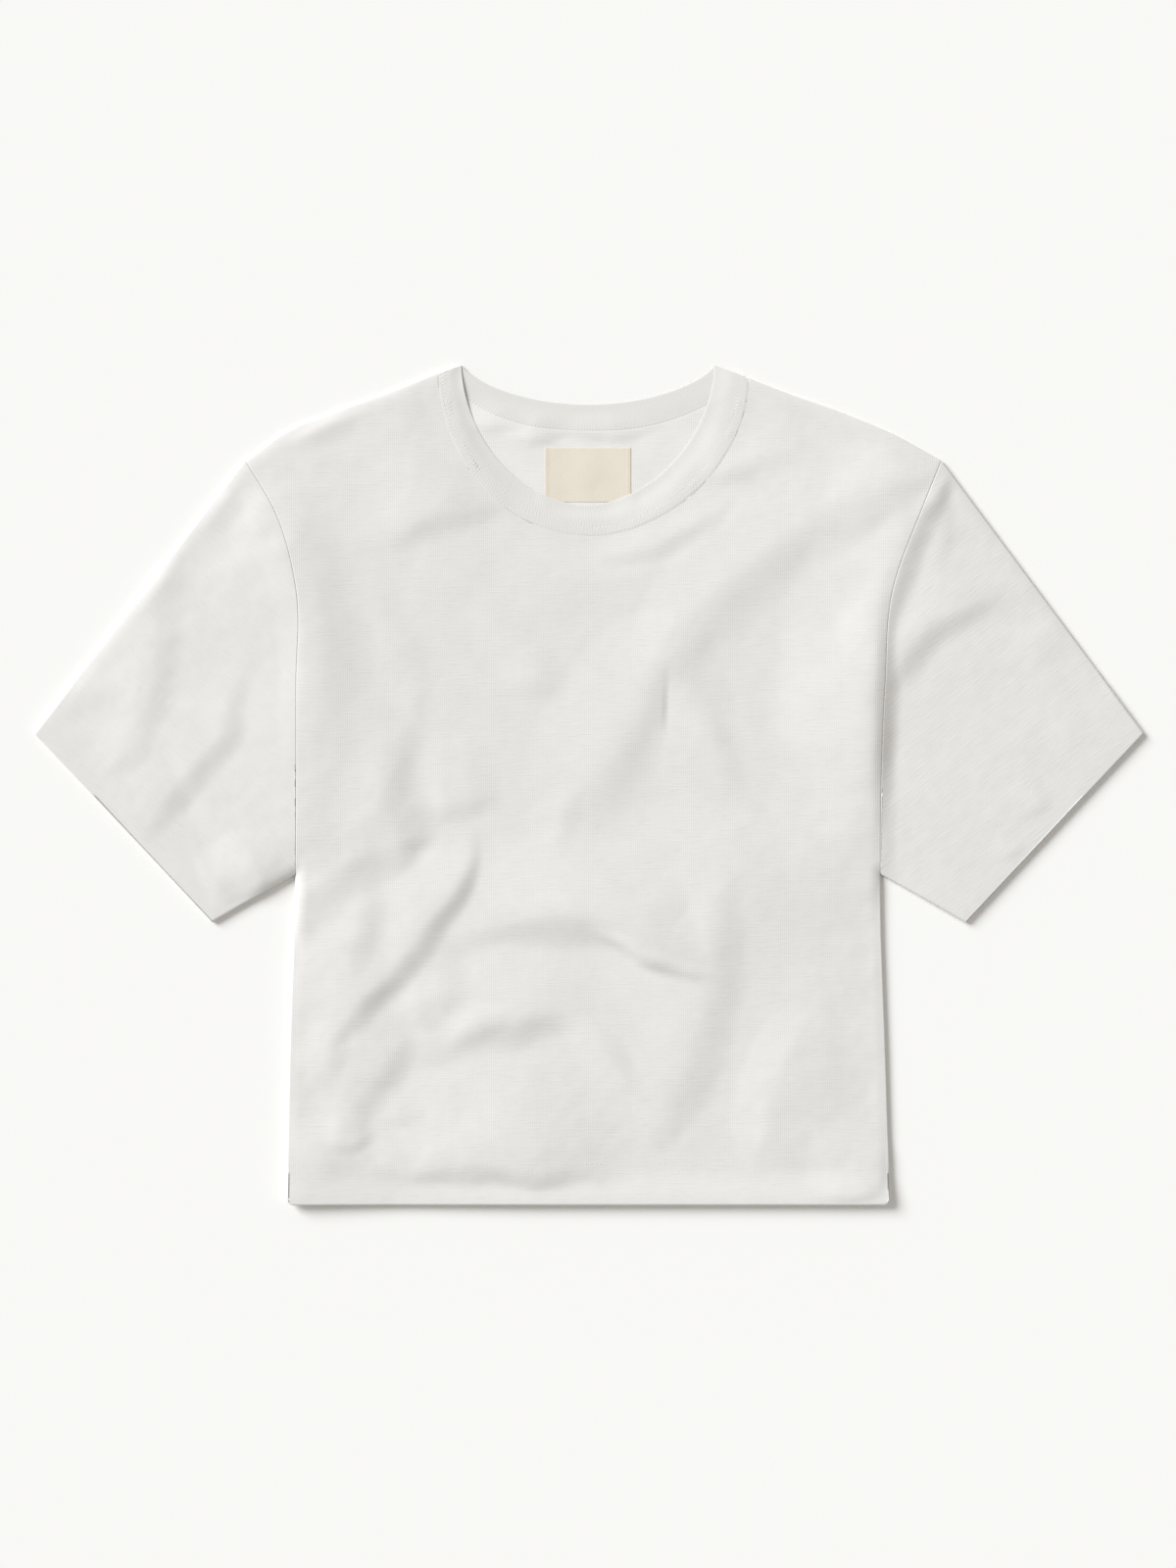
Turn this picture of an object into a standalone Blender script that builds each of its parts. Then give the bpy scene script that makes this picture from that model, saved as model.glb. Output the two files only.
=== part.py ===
"""A cropped crew-neck T-shirt laid flat on its back, its front up.

Six sewn pieces: back, front, two drop-shoulder sleeves, a rib neckband and a neck label.
X runs from the wearer's right (-X) to their left (+X), Y from the hem up to the neck, and Z up
from the surface that it lies on. The tables and functions are in millimetres, and make_piece
turns them to metres. "Right" and "left" are always the wearer's.
"""

from collections import namedtuple

import bmesh
import bpy
import numpy as np

METRES = 0.001

# Thickness of the cloth, and the gap left between pieces where they are sewn.
JERSEY = 1.1
RIB = 2.2  # two layers of rib knit, folded at the finished edge
LABEL = 1.0
SEAM = 0.35
GAP = 0.3  # between layers that lie on each other

# Turned-up hems: the cloth is double for this depth.
BODY_HEM = 25.0
SLEEVE_HEM = 27.0
HEM_STEP = 1.5  # over which the wall goes from single to double
HEM_RISE = 14.0  # over which the outside rises to the double cloth

# Sides of the body from the hem up: half widths at each height. From the underarm up they are
# the armholes.
Level = namedtuple("Level", "name height right left")
SIDES = (
    Level("hem", -285.7, 205.3, 204.9),
    Level("waist", -186.0, 203.3, 201.7),
    Level("underarm", -61.0, 199.3, 198.0),
    Level("chest", 67.0, 198.7, 200.7),
    Level("armhole_bend", 134.0, 198.9, 206.5),
    Level("armhole_rise", 187.0, 214.0, 226.0),
    Level("shoulder_point", 220.0, 233.5, 239.5),
)

# Shoulder seams from the neck out.
Stop = namedtuple("Stop", "name right right_height left left_height")
SHOULDERS = (
    Stop("neck_point", 102.0, 280.0, 108.0, 276.5),
    Stop("upper", 134.0, 267.3, 134.0, 266.3),
    Stop("middle", 174.0, 252.7, 174.0, 252.0),
    Stop("bend", 207.0, 238.7, 207.0, 238.0),
    Stop("shoulder_point", 233.5, 220.0, 239.5, 220.0),
)

# Flat sleeves: where the cuff line starts at the overarm fold and ends at the underarm seam.
CUFF_TIP = (377.3, 35.0)
CUFF_CORNER = (255.7, -94.0)

# Necklines from the wearer's right end to the left one. Each drops from the line between its
# ends by depth * (1 - share of the half width ** fullness) ** bend.
Neckline = namedtuple("Neckline", "right_end left_end depth full_right full_left bend")
FRONT_SEAM = Neckline((-102.0, 280.0), (108.0, 276.5), 108.8, 2.15, 1.75, 0.52)
BACK_SEAM = Neckline((-102.0, 280.0), (108.0, 276.5), 37.3, 3.0, 2.2, 1.0)
FRONT_FINISH = Neckline((-86.7, 285.7), (85.3, 285.7), 95.7, 1.95, 1.8, 0.54)
BACK_FINISH = Neckline((-86.7, 285.7), (85.3, 285.7), 27.3, 2.0, 2.0, 0.7)
BAND_RISE = 0.5  # how far the front of the neckband bows up over the label
BAND_BEVEL = 0.6  # slant of the band's edges at its folds, as a share of its thickness
BAND_STEP = 3.0  # from a fold to where the layers lie flat
BAND_END = 0.525  # how far the band's seam edge stands in from its seam at a neck point

# The neck label, inside the back, below the back neck seam.
LABEL_CENTRE_X = -0.7
LABEL_TOP_Y = 229.0
LABEL_WIDTH = 58.2
LABEL_HEIGHT = 37.0

# The front's relief: it rests on the back at its edges and stands on trapped air inside them.
AIR = 2.2
EDGE_ROLL = 14.0  # distance over which it rises from an edge

# The largest folds: each crest runs from start past middle to end, with a soft flank on one
# side and a steeper one on the other, named left and right of the way along the crest.
Fold = namedtuple("Fold", "name start middle end height left right")
FOLDS = (
    Fold("shoulder_drag", (228, 206), (92, 130), (-10, -45), 4.6, 26, 55),
    Fold("armhole_roll", (236, 200), (194, 110), (186, -60), 9.0, 16, 95),
    Fold("chest_hollow", (66, 78), (88, 42), (112, -12), -3.0, 34, 26),
    Fold("lower_right_ridge", (-66, -22), (-104, -88), (-170, -156), 5.2, 21, 36),
    Fold("right_waist", (-205, -80), (-164, -60), (-112, -34), 3.0, 34, 24),
    Fold("waist_fold", (-78, -92), (12, -76), (84, -128), 3.8, 40, 20),
    Fold("lower_waist_fold", (-104, -176), (-30, -144), (66, -214), 3.2, 34, 20),
    Fold("left_flank", (94, -62), (78, -140), (46, -238), 3.0, 24, 44),
    Fold("left_hem_rise", (156, -116), (128, -180), (116, -262), 3.6, 55, 24),
    Fold("hem_swell", (-130, -232), (-36, -230), (96, -262), 3.6, 36, 28),
    Fold("right_armhole_fold", (-166, 158), (-136, 96), (-124, 60), 2.6, 22, 26),
    Fold("right_chest", (-128, 88), (-134, 30), (-150, -32), 3.0, 22, 30),
    Fold("collar_fold", (-205, 166), (-130, 190), (-50, 194), 3.0, 24, 46),
    Fold("left_sleeve_fold", (214, 108), (250, 126), (306, 134), 3.0, 30, 20),
    Fold("right_sleeve_fold", (-232, 50), (-262, 10), (-292, -42), 3.6, 20, 30),
    Fold("right_sleeve_ridge", (-268, 128), (-282, 70), (-300, 0), 2.0, 24, 26),
)
FOLD_FADE = 0.35  # share of a fold's length over which it rises from each end
FOLD_STEPS = 16

# How finely the pieces are faceted.
ARMHOLE_LEVELS = (-61.0, -20.0, 20.0, 60.0, 100.0, 115.0, 130.0, 145.0, 160.0, 175.0, 190.0,
                  205.0, 220.0)
SPLIT = 100.0  # below this height the rows of the body run level, above it they follow the top
SHOULDER_STEPS = 5
NECK_STEPS = 20
FRONT_PITCH = 15.0  # most between two level rows of the front
BACK_PITCH = 80.0
SLEEVE_ROWS = 7
EDGE_STEP = 1.2  # first column in from a folded edge
LINE_SAMPLES = 400  # points along a curved line before it is cut into even steps
SHARP_ANGLE = 40.0  # degrees; edges turned further than this are shaded sharp
HEM_LAP = 0.01  # last row of single cloth before a cuff's hem, as a share of the arm
LABEL_COLUMNS, LABEL_ROWS = 5, 4

# Colours and roughness of the cloth.
BACK_SHADE = (0.78, 0.77, 0.75)
JERSEY_SHADE = (0.80, 0.79, 0.77)
RIB_SHADE = (0.79, 0.78, 0.76)
TAPE_SHADE = (0.76, 0.69, 0.56)
COTTON_ROUGHNESS = 0.9
TAPE_ROUGHNESS = 0.7


# ---------------------------------------------------------------- curves of the outline


def soft(share):
    """A share from 0 to 1 eased at both ends."""
    share = np.clip(share, 0.0, 1.0)
    return share * share * (3.0 - 2.0 * share)


def mix(low, high, share):
    return low + (high - low) * share


def through(at, values, where):
    """A smooth curve through values at the rising numbers at, read at where."""
    at, values = np.array(at, float), np.array(values, float)
    slopes = np.gradient(values, at)
    i = np.clip(np.searchsorted(at, where, side="right") - 1, 0, len(at) - 2)
    step = at[i + 1] - at[i]
    t = (where - at[i]) / step
    eased = t * t * (3.0 - 2.0 * t)
    bend = t * (1.0 - t) * step * (slopes[i] * (1.0 - t) - slopes[i + 1] * t)
    return mix(values[i], values[i + 1], eased) + bend


def side(hand, heights):
    """Half width of the body at heights. All pieces turn at the same levels, so they meet."""
    rows = np.array([SIDES[0].height, SIDES[1].height, *ARMHOLE_LEVELS])
    widths = through([r.height for r in SIDES], [getattr(r, hand) for r in SIDES], rows)
    return np.interp(heights, rows, widths)


def filled(levels, pitch):
    """Rising levels with more between them, so that no two are more than pitch apart."""
    rows = [levels[:1]]
    for low, high in zip(levels[:-1], levels[1:]):
        count = int(np.ceil((high - low) / pitch))
        rows.append(np.linspace(low, high, count + 1)[1:])
    return np.concatenate(rows)


def evenly(points, steps):
    """The points of a line resampled at equal lengths."""
    lengths = np.concatenate([[0.0], np.cumsum(np.hypot(*np.diff(points, axis=0).T))])
    where = np.linspace(0.0, lengths[-1], steps + 1)
    return np.stack([np.interp(where, lengths, points[:, k]) for k in (0, 1)], axis=1)


def shoulder(hand):
    """The shoulder seam from the neck to the shoulder point, on the wearer's right or left."""
    out = [getattr(r, hand) for r in SHOULDERS]
    heights = [getattr(r, hand + "_height") for r in SHOULDERS]
    x = np.linspace(out[0], out[-1], LINE_SAMPLES)
    sign = -1.0 if hand == "right" else 1.0
    return evenly(np.stack([sign * x, through(out, heights, x)], axis=1), SHOULDER_STEPS)


def neckline(line, steps=NECK_STEPS):
    """A neckline from its right end to its left one, in equal steps."""
    (x0, y0), (x1, y1) = line.right_end, line.left_end
    share = -np.cos(np.linspace(0.0, np.pi, LINE_SAMPLES))
    full = np.where(share < 0.0, line.full_right, line.full_left)
    drop = line.depth * np.maximum(1.0 - np.abs(share) ** full, 0.0) ** line.bend
    across = 0.5 + 0.5 * share
    return evenly(np.stack([mix(x0, x1, across), mix(y0, y1, across) - drop], axis=1), steps)


def moved_up(line, distance):
    """A line that runs towards +X, moved by distance to its left, its ends kept."""
    along = np.gradient(line, axis=0)
    normal = np.stack([-along[:, 1], along[:, 0]], axis=1)
    normal /= np.linalg.norm(normal, axis=1, keepdims=True)
    moved = line + distance * normal
    moved[0], moved[-1] = line[0], line[-1]
    return moved


def top_edge(seam):
    """The top of a body panel, from the right shoulder point across to the left one."""
    return np.concatenate([shoulder("right")[::-1], neckline(seam)[1:-1], shoulder("left")])


def outline():
    """Segments of the whole outline but for the neck, each as start and end."""
    hem = SIDES[0].height
    lines = [np.array([(-SIDES[0].right, hem), (SIDES[0].left, hem)])]
    for hand, sign in (("right", -1.0), ("left", 1.0)):
        heights = np.array([hem, SIDES[1].height, SIDES[2].height])
        body = np.stack([sign * side(hand, heights), heights], axis=1)
        cuff = np.array([CUFF_CORNER, CUFF_TIP]) * (sign, 1.0)
        lines.append(np.concatenate([body, cuff, shoulder(hand)[::-1]]))
    starts = np.concatenate([line[:-1] for line in lines])
    ends = np.concatenate([line[1:] for line in lines])
    return starts, ends


def distance_to(starts, ends, x, y):
    """Distance in plan from each point to the nearest of the segments."""
    nearest = np.full(np.shape(x), np.inf)
    for (ax, ay), (bx, by) in zip(starts, ends):
        dx, dy = bx - ax, by - ay
        t = np.clip(((x - ax) * dx + (y - ay) * dy) / (dx * dx + dy * dy), 0.0, 1.0)
        nearest = np.minimum(nearest, np.hypot(x - ax - t * dx, y - ay - t * dy))
    return nearest


# ---------------------------------------------------------------- relief of the top layer


def raised(fold, x, y):
    """The height that one fold adds at each point."""
    start, middle, end = (np.array(p, float) for p in (fold.start, fold.middle, fold.end))
    pull = 2.0 * middle - (start + end) / 2.0
    t = np.linspace(0.0, 1.0, FOLD_STEPS + 1)[:, None]
    crest = (1.0 - t) ** 2 * start + 2.0 * t * (1.0 - t) * pull + t * t * end
    nearest = np.full(np.shape(x), np.inf)
    width = np.ones(np.shape(x))
    along = np.zeros(np.shape(x))
    for i, ((ax, ay), (bx, by)) in enumerate(zip(crest[:-1], crest[1:])):
        dx, dy = bx - ax, by - ay
        s = np.clip(((x - ax) * dx + (y - ay) * dy) / (dx * dx + dy * dy), 0.0, 1.0)
        off_x, off_y = x - ax - s * dx, y - ay - s * dy
        away = np.hypot(off_x, off_y)
        closer = away < nearest
        nearest = np.where(closer, away, nearest)
        flank = np.where(dx * off_y - dy * off_x > 0.0, fold.left, fold.right)
        width = np.where(closer, flank, width)
        along = np.where(closer, (i + s) / FOLD_STEPS, along)
    across = 0.5 + 0.5 * np.cos(np.pi * np.minimum(nearest / width, 1.0))
    return fold.height * across * soft(along / FOLD_FADE) * soft((1.0 - along) / FOLD_FADE)


def double_share(to_hem, depth):
    """How far the outside has risen to the double cloth of a hem, from 0 to 1."""
    return 1.0 - soft((to_hem - depth - 2.0 * HEM_STEP) / HEM_RISE)


def flat_height(to_hem, depth):
    """Height of the outside where the cloth lies flat on the back layer."""
    return 2.0 * JERSEY + GAP + 2.0 * JERSEY * double_share(to_hem, depth)


def top(x, y, to_hem, depth):
    """Height of the outside of the top layer."""
    inside = soft(distance_to(*outline(), x, y) / EDGE_ROLL)
    folds = sum(raised(fold, x, y) for fold in FOLDS)
    return flat_height(to_hem, depth) + inside * np.maximum(AIR + folds, 0.0)


# ---------------------------------------------------------------- meshes


def make_piece(name, outer, inner, colour, roughness, ring=False):
    """One closed wall between two grids of points, as an object with its own material.

    Each grid is rows by columns by (x, y, z). With ring, the last column meets the first.
    """
    rows, columns = outer.shape[:2]
    points = np.concatenate([outer.reshape(-1, 3), inner.reshape(-1, 3)]) * METRES
    number = np.arange(rows * columns).reshape(rows, columns)
    if ring:
        number = np.concatenate([number, number[:, :1]], axis=1)
    faces = []
    for grid in (number, number + rows * columns):
        corners = (grid[:-1, :-1], grid[:-1, 1:], grid[1:, 1:], grid[1:, :-1])
        faces += np.stack(corners, axis=-1).reshape(-1, 4).tolist()
    rims = [number[0], number[-1]]
    if not ring:
        rims += [number[:, 0], number[:, -1]]
    for rim in rims:
        for a, b in zip(rim[:-1], rim[1:]):
            faces.append([int(a), int(b), int(b) + rows * columns, int(a) + rows * columns])
    mesh = bpy.data.meshes.new(name)
    mesh.from_pydata(points.tolist(), [], faces)
    built = bmesh.new()
    built.from_mesh(mesh)
    bmesh.ops.recalc_face_normals(built, faces=built.faces)
    bmesh.ops.triangulate(built, faces=built.faces)
    built.to_mesh(mesh)
    built.free()
    mesh.shade_smooth()
    mesh.set_sharp_from_angle(angle=np.radians(SHARP_ANGLE))
    mesh.materials.append(cloth(name + "_cloth", colour, roughness))
    piece = bpy.data.objects.new(name, mesh)
    bpy.context.collection.objects.link(piece)
    return piece


def cloth(name, colour, roughness):
    material = bpy.data.materials.new(name)
    material.use_nodes = True
    shader = material.node_tree.nodes["Principled BSDF"]
    shader.inputs["Base Color"].default_value = (*colour, 1.0)
    shader.inputs["Roughness"].default_value = roughness
    shader.inputs["Metallic"].default_value = 0.0
    return material


def layer(x, y, z):
    return np.stack([x, y, np.broadcast_to(z, x.shape)], axis=-1)


# ---------------------------------------------------------------- body


def panel_plan(seam, pitch):
    """Plan of a body panel: x and y of its grid, and the wall's thickness in each row."""
    hem = SIDES[0].height
    fold_line = hem + BODY_HEM
    turns = [fold_line + HEM_STEP, SIDES[1].height]
    turns += [level for level in ARMHOLE_LEVELS if level <= SPLIT]
    low = [hem, mix(hem, fold_line, 0.5), fold_line, *filled(turns, pitch)]
    armhole = [level for level in ARMHOLE_LEVELS if level > SPLIT]
    edge = top_edge(seam)
    lift = (np.array(armhole) - SPLIT) / (ARMHOLE_LEVELS[-1] - SPLIT)
    risen = np.concatenate([np.zeros(len(low)), lift])[:, None]
    level = np.concatenate([low, np.full(len(armhole), SPLIT)])[:, None]
    y = mix(level, edge[:, 1], risen)
    at_side = np.array(low + armhole)
    right, left = -side("right", at_side)[:, None], side("left", at_side)[:, None]
    share_at_top = (edge[:, 0] - edge[0, 0]) / (edge[-1, 0] - edge[0, 0])
    share = mix(np.linspace(0.0, 1.0, len(edge)), share_at_top, risen ** 2)
    x = mix(right, left, share)
    wall = np.where(at_side <= fold_line, 2.0 * JERSEY, JERSEY)[:, None]
    return x, y, wall


def make_back():
    """The back panel lies flat; only its hem is double. The garment rests on it."""
    x, y, wall = panel_plan(BACK_SEAM, BACK_PITCH)
    return make_piece("back_panel", layer(x, y, wall), layer(x, y, 0.0), BACK_SHADE,
                      COTTON_ROUGHNESS)


def make_front():
    """The front panel lies on the back with the folds in it."""
    x, y, wall = panel_plan(FRONT_SEAM, FRONT_PITCH)
    outside = top(x, y, y - SIDES[0].height, BODY_HEM)
    inside = layer(x, y, outside - wall)
    return make_piece("front_panel", layer(x, y, outside), inside, JERSEY_SHADE,
                      COTTON_ROUGHNESS)


# ---------------------------------------------------------------- sleeves


def make_sleeve(hand, sign):
    """A flat tube from the armhole to the open cuff, folded along the overarm."""
    levels = np.array(ARMHOLE_LEVELS[::-1])
    span = levels[0] - levels[-1]
    levels = np.concatenate([levels[:1], [levels[0] - EDGE_STEP], levels[1:-1],
                             [levels[-1] + EDGE_STEP], levels[-1:]])
    share = (levels[0] - levels) / span  # from the overarm fold to the underarm seam
    seam = np.stack([side(hand, levels) + SEAM, levels], axis=1)
    tip, corner = np.array(CUFF_TIP), np.array(CUFF_CORNER)
    cuff = mix(tip, corner, share[:, None])
    ends = seam[0], seam[-1]
    hem_ends = [k + (e - k) * SLEEVE_HEM / distance_to([tip], [corner], *e)
                for k, e in ((tip, ends[0]), (corner, ends[1]))]
    stitched = mix(hem_ends[0], hem_ends[1], share[:, None])
    single = stitched + (mix(ends[0], ends[1], share[:, None]) - stitched) * HEM_LAP
    arm = np.linspace(0.0, 1.0, SLEEVE_ROWS)[:, None, None]
    chord = mix(ends[0], ends[1], share[:, None])
    plan = mix(chord, single, arm) + (seam - chord) * (1.0 - arm) ** 2
    turned = mix(stitched, cuff, np.array([0.0, 0.5, 1.0])[:, None, None])
    plan = np.concatenate([plan, turned])
    wall = np.where(np.arange(len(plan)) < SLEEVE_ROWS, JERSEY, 2.0 * JERSEY)[:, None]
    return tube(f"{hand}_sleeve", plan * (sign, 1.0), wall, share, tip * (sign, 1.0),
                corner * (sign, 1.0))


def tube(name, plan, wall, share, tip, corner):
    """A flat tube round a plan grid: its outside and its inside, as rings."""
    length = np.linalg.norm(plan[:, -1] - plan[:, 0], axis=1)[:, None]
    inset = wall / length
    squeezed = mix(inset, 1.0 - inset, share)
    inner_plan = np.stack([
        np.stack([np.interp(s, share, row[:, k]) for k in (0, 1)], axis=1)
        for s, row in zip(squeezed, plan)
    ])
    rings = []
    for grid, depth in ((plan, 0.0), (inner_plan, wall)):
        x, y = grid[..., 0], grid[..., 1]
        to_hem = distance_to([tip], [corner], x, y)
        upper = top(x, y, to_hem, SLEEVE_HEM) - depth
        upper[:, [0, -1]] = flat_height(to_hem, SLEEVE_HEM)[:, [0, -1]] / 2.0
        lower = layer(x, y, depth)[:, -2:0:-1]
        rings.append(np.concatenate([layer(x, y, upper), lower], axis=1))
    return make_piece(name, *rings, JERSEY_SHADE, COTTON_ROUGHNESS, ring=True)


# ---------------------------------------------------------------- neckband and label


def make_neckband():
    """A flat ring of rib: its front lies over its back, folded at the two neck points."""
    front = [moved_up(neckline(FRONT_SEAM), SEAM), neckline(FRONT_FINISH)]
    back = [moved_up(neckline(BACK_SEAM), SEAM), neckline(BACK_FINISH)]
    for seam, finish in (front, back):
        for end in (0, -1):
            away = finish[end] - seam[end]
            seam[end] += BAND_END * away / np.linalg.norm(away)
    across = np.array([0.0, 0.5, 1.0])[:, None, None]
    front, back = (mix(seam, finish, across) for seam, finish in (front, back))
    rings = []
    for depth, front_z, back_z in ((0.0, 2.0 * RIB + GAP, 0.0), (RIB, RIB + GAP, RIB)):
        upper = band_arc(front, depth, front_z, BAND_RISE)
        lower = band_arc(back, depth, back_z, 0.0)
        for end, turn in ((0, -1.0), (-1, 1.0)):
            fold = front[:, end]
            along = (fold[-1] - fold[0]) / np.linalg.norm(fold[-1] - fold[0])
            inward = turn * np.array([-along[1], along[0]])
            bevel = BAND_BEVEL * (1.0 - 2.0 * across[:, :, 0])
            upper[:, end, :2] = fold + depth * (inward + bevel * along)
            upper[:, end, 2] = RIB + GAP / 2.0
        rings.append(np.concatenate([upper, lower[:, -2:0:-1]], axis=1))
    return make_piece("neckband", *rings, RIB_SHADE, COTTON_ROUGHNESS, ring=True)


def band_arc(arc, inset, height, rise):
    """One layer of the neckband, its ends set in along it, bowed up by rise at the middle."""
    length = np.hypot(*np.diff(arc[0], axis=0).T).sum()
    even = np.linspace(0.0, 1.0, NECK_STEPS + 1)
    step = BAND_STEP / length
    share = np.concatenate([[0.0, step], even[1:-1], [1.0 - step, 1.0]])
    where = mix(inset / length, 1.0 - inset / length, share)
    plan = np.array([[np.interp(where, even, row[:, k]) for k in (0, 1)] for row in arc])
    return layer(plan[:, 0], plan[:, 1], height + rise * np.sin(np.pi * share))


def make_label():
    """A woven label sewn flat on the inside of the back."""
    x = LABEL_CENTRE_X + LABEL_WIDTH * np.linspace(-0.5, 0.5, LABEL_COLUMNS)
    y = LABEL_TOP_Y - LABEL_HEIGHT * np.linspace(1.0, 0.0, LABEL_ROWS)
    x, y = np.meshgrid(x, y)
    under = JERSEY + GAP
    return make_piece("neck_label", layer(x, y, under + LABEL), layer(x, y, under),
                      TAPE_SHADE, TAPE_ROUGHNESS)


for item in list(bpy.data.objects):
    bpy.data.objects.remove(item)
make_back()
make_front()
make_sleeve("right", -1.0)
make_sleeve("left", 1.0)
make_neckband()
make_label()
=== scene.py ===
"""The looks of a cropped crew-neck T-shirt in washed slub jersey, laid flat with its front up.

X runs from the wearer's right (-X) to their left (+X), Y from the hem up to the neck, and Z up
from the floor. Sizes are in millimetres until a mesh is made. "Right" and "left" are always the
wearer's. The pieces come in the order in which they are put together.
"""

from collections import namedtuple

import bpy
import numpy as np
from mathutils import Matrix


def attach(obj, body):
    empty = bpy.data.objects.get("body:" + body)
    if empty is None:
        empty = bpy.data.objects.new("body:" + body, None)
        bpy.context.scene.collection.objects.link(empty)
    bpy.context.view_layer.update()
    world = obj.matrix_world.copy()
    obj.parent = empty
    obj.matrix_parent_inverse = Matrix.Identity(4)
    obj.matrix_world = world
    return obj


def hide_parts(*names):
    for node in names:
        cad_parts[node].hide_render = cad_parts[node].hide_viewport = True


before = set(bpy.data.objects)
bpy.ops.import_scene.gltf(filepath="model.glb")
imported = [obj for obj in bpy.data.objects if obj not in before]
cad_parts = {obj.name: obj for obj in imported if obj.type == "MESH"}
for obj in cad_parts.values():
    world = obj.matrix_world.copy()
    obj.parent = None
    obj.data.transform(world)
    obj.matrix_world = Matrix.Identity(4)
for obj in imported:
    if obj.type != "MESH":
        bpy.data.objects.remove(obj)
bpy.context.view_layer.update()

# ---------------------------------------------------------------- back panel
# The back is one piece of slub cotton jersey cut on the straight grain, its hem turned up once.
# It lies on the floor, and the inside of it shows through the neck, creased where the cloth is
# caught under the neckband.

METRES = 0.001

JERSEY = 1.1
GAP = 0.3  # air between layers that lie on each other
# How deep a hem is, how far its edge stands off what is under it, and how much the layer that is
# turned in adds to its thickness, 1 for a layer that isn't pressed down.
Hem = namedtuple("Hem", "depth air turned")
BODY_HEM = Hem(25.0, 2.4, 1.0)
HEM_STEP = 3.0  # over which the cloth goes from single to double
HEM_RISE = 34.0  # over which the outside rises to the double cloth
HEM_CORNER = 4.5  # roundness of the hem's two corners
SEAM_ALLOWANCE, SEAM_EASE = 5.0, 9.0  # cloth turned in at a side seam, and where it thins out
SEAM_PRESSED = 0.55  # how much it adds, as a share of the cloth's thickness
FINE = 2.6  # pitch of the grids of the panels and the sleeves
HALVED = 4  # steps next to each end of a line of the grid that are halved
SHOULDER_RUN, NECK_RUN = 116.0, 230.0  # set how many columns the shoulders and the neck get
RIM_STEPS = 5  # facets round the edge of a wall of cloth

# Half widths of the body from the hem up. From the underarm up they are the armholes.
Level = namedtuple("Level", "name height right left")
SIDES = (
    Level("hem", -285.7, 205.3, 204.9),
    Level("waist", -186.0, 203.3, 201.7),
    Level("underarm", -61.0, 199.3, 198.0),
    Level("chest", 67.0, 198.7, 200.7),
    Level("armhole_bend", 134.0, 198.9, 206.5),
    Level("armhole_rise", 187.0, 214.0, 226.0),
    Level("shoulder_point", 220.0, 233.5, 239.5),
)

# Shoulder seams from the neck out.
Stop = namedtuple("Stop", "name right right_height left left_height")
SHOULDERS = (
    Stop("neck_point", 102.0, 280.0, 108.0, 276.5),
    Stop("upper", 134.0, 267.3, 134.0, 266.3),
    Stop("middle", 174.0, 252.7, 174.0, 252.0),
    Stop("bend", 207.0, 238.7, 207.0, 238.0),
    Stop("shoulder_point", 233.5, 220.0, 239.5, 220.0),
)

# Flat sleeves: where the cuff line starts at the overarm fold and ends at the underarm seam.
CUFF_TIP = (377.3, 35.0)
CUFF_CORNER = (255.7, -94.0)

# Necklines from the wearer's right end to the left one. Each drops from the line between its
# ends by depth * (1 - share of the half width ** fullness) ** bend.
Neckline = namedtuple("Neckline", "right_end left_end depth full_right full_left bend")
BACK_SEAM = Neckline((-102.0, 280.0), (108.0, 276.5), 37.3, 3.0, 2.2, 1.0)

SPLIT = 100.0  # below this height the rows of the body run level, above it they follow the top
SHOULDER_POINTS, NECK_POINTS = 60, 600  # worked out along each line before it is resampled
SIDE_STEPS, SHOULDER_STEPS = 5, 9  # points of the outline along a side and along a shoulder
WAVES = 24  # waves that make up an unevenness


def soft(share):
    """A share from 0 to 1 eased at both ends."""
    share = np.clip(share, 0.0, 1.0)
    return share * share * (3.0 - 2.0 * share)


def mix(low, high, share):
    return low + (high - low) * share


def through(at, values, where):
    """A smooth curve through values at the rising numbers at, read at where."""
    at, values = np.array(at, float), np.array(values, float)
    slopes = np.gradient(values, at)
    i = np.clip(np.searchsorted(at, where, side="right") - 1, 0, len(at) - 2)
    step = at[i + 1] - at[i]
    t = (where - at[i]) / step
    bend = t * (1.0 - t) * step * (slopes[i] * (1.0 - t) - slopes[i + 1] * t)
    return mix(values[i], values[i + 1], t * t * (3.0 - 2.0 * t)) + bend


def side(hand, heights):
    """Half width of the body at heights, on the wearer's right or left."""
    return through([r.height for r in SIDES], [getattr(r, hand) for r in SIDES], heights)


def tightened(count):
    """Shares from 0 to 1 in even steps, halved next to both ends, where cloth rolls down."""
    even = np.linspace(0.0, 1.0, count + 1)
    between = 0.5 * (even[:-1] + even[1:])
    return np.sort(np.concatenate([even, between[:HALVED], between[-HALVED:]]))


def sampled(points, shares):
    """The points of a line resampled at shares of its length."""
    lengths = np.concatenate([[0.0], np.cumsum(np.linalg.norm(np.diff(points, axis=0), axis=1))])
    return np.stack([np.interp(shares * lengths[-1], lengths, column) for column in points.T], axis=1)


def shoulder(hand, shares):
    """The shoulder seam from the neck to the shoulder point."""
    out = [getattr(r, hand) for r in SHOULDERS]
    heights = [getattr(r, hand + "_height") for r in SHOULDERS]
    x = np.linspace(out[0], out[-1], SHOULDER_POINTS)
    sign = -1.0 if hand == "right" else 1.0
    return sampled(np.stack([sign * x, through(out, heights, x)], axis=1), shares)


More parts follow.
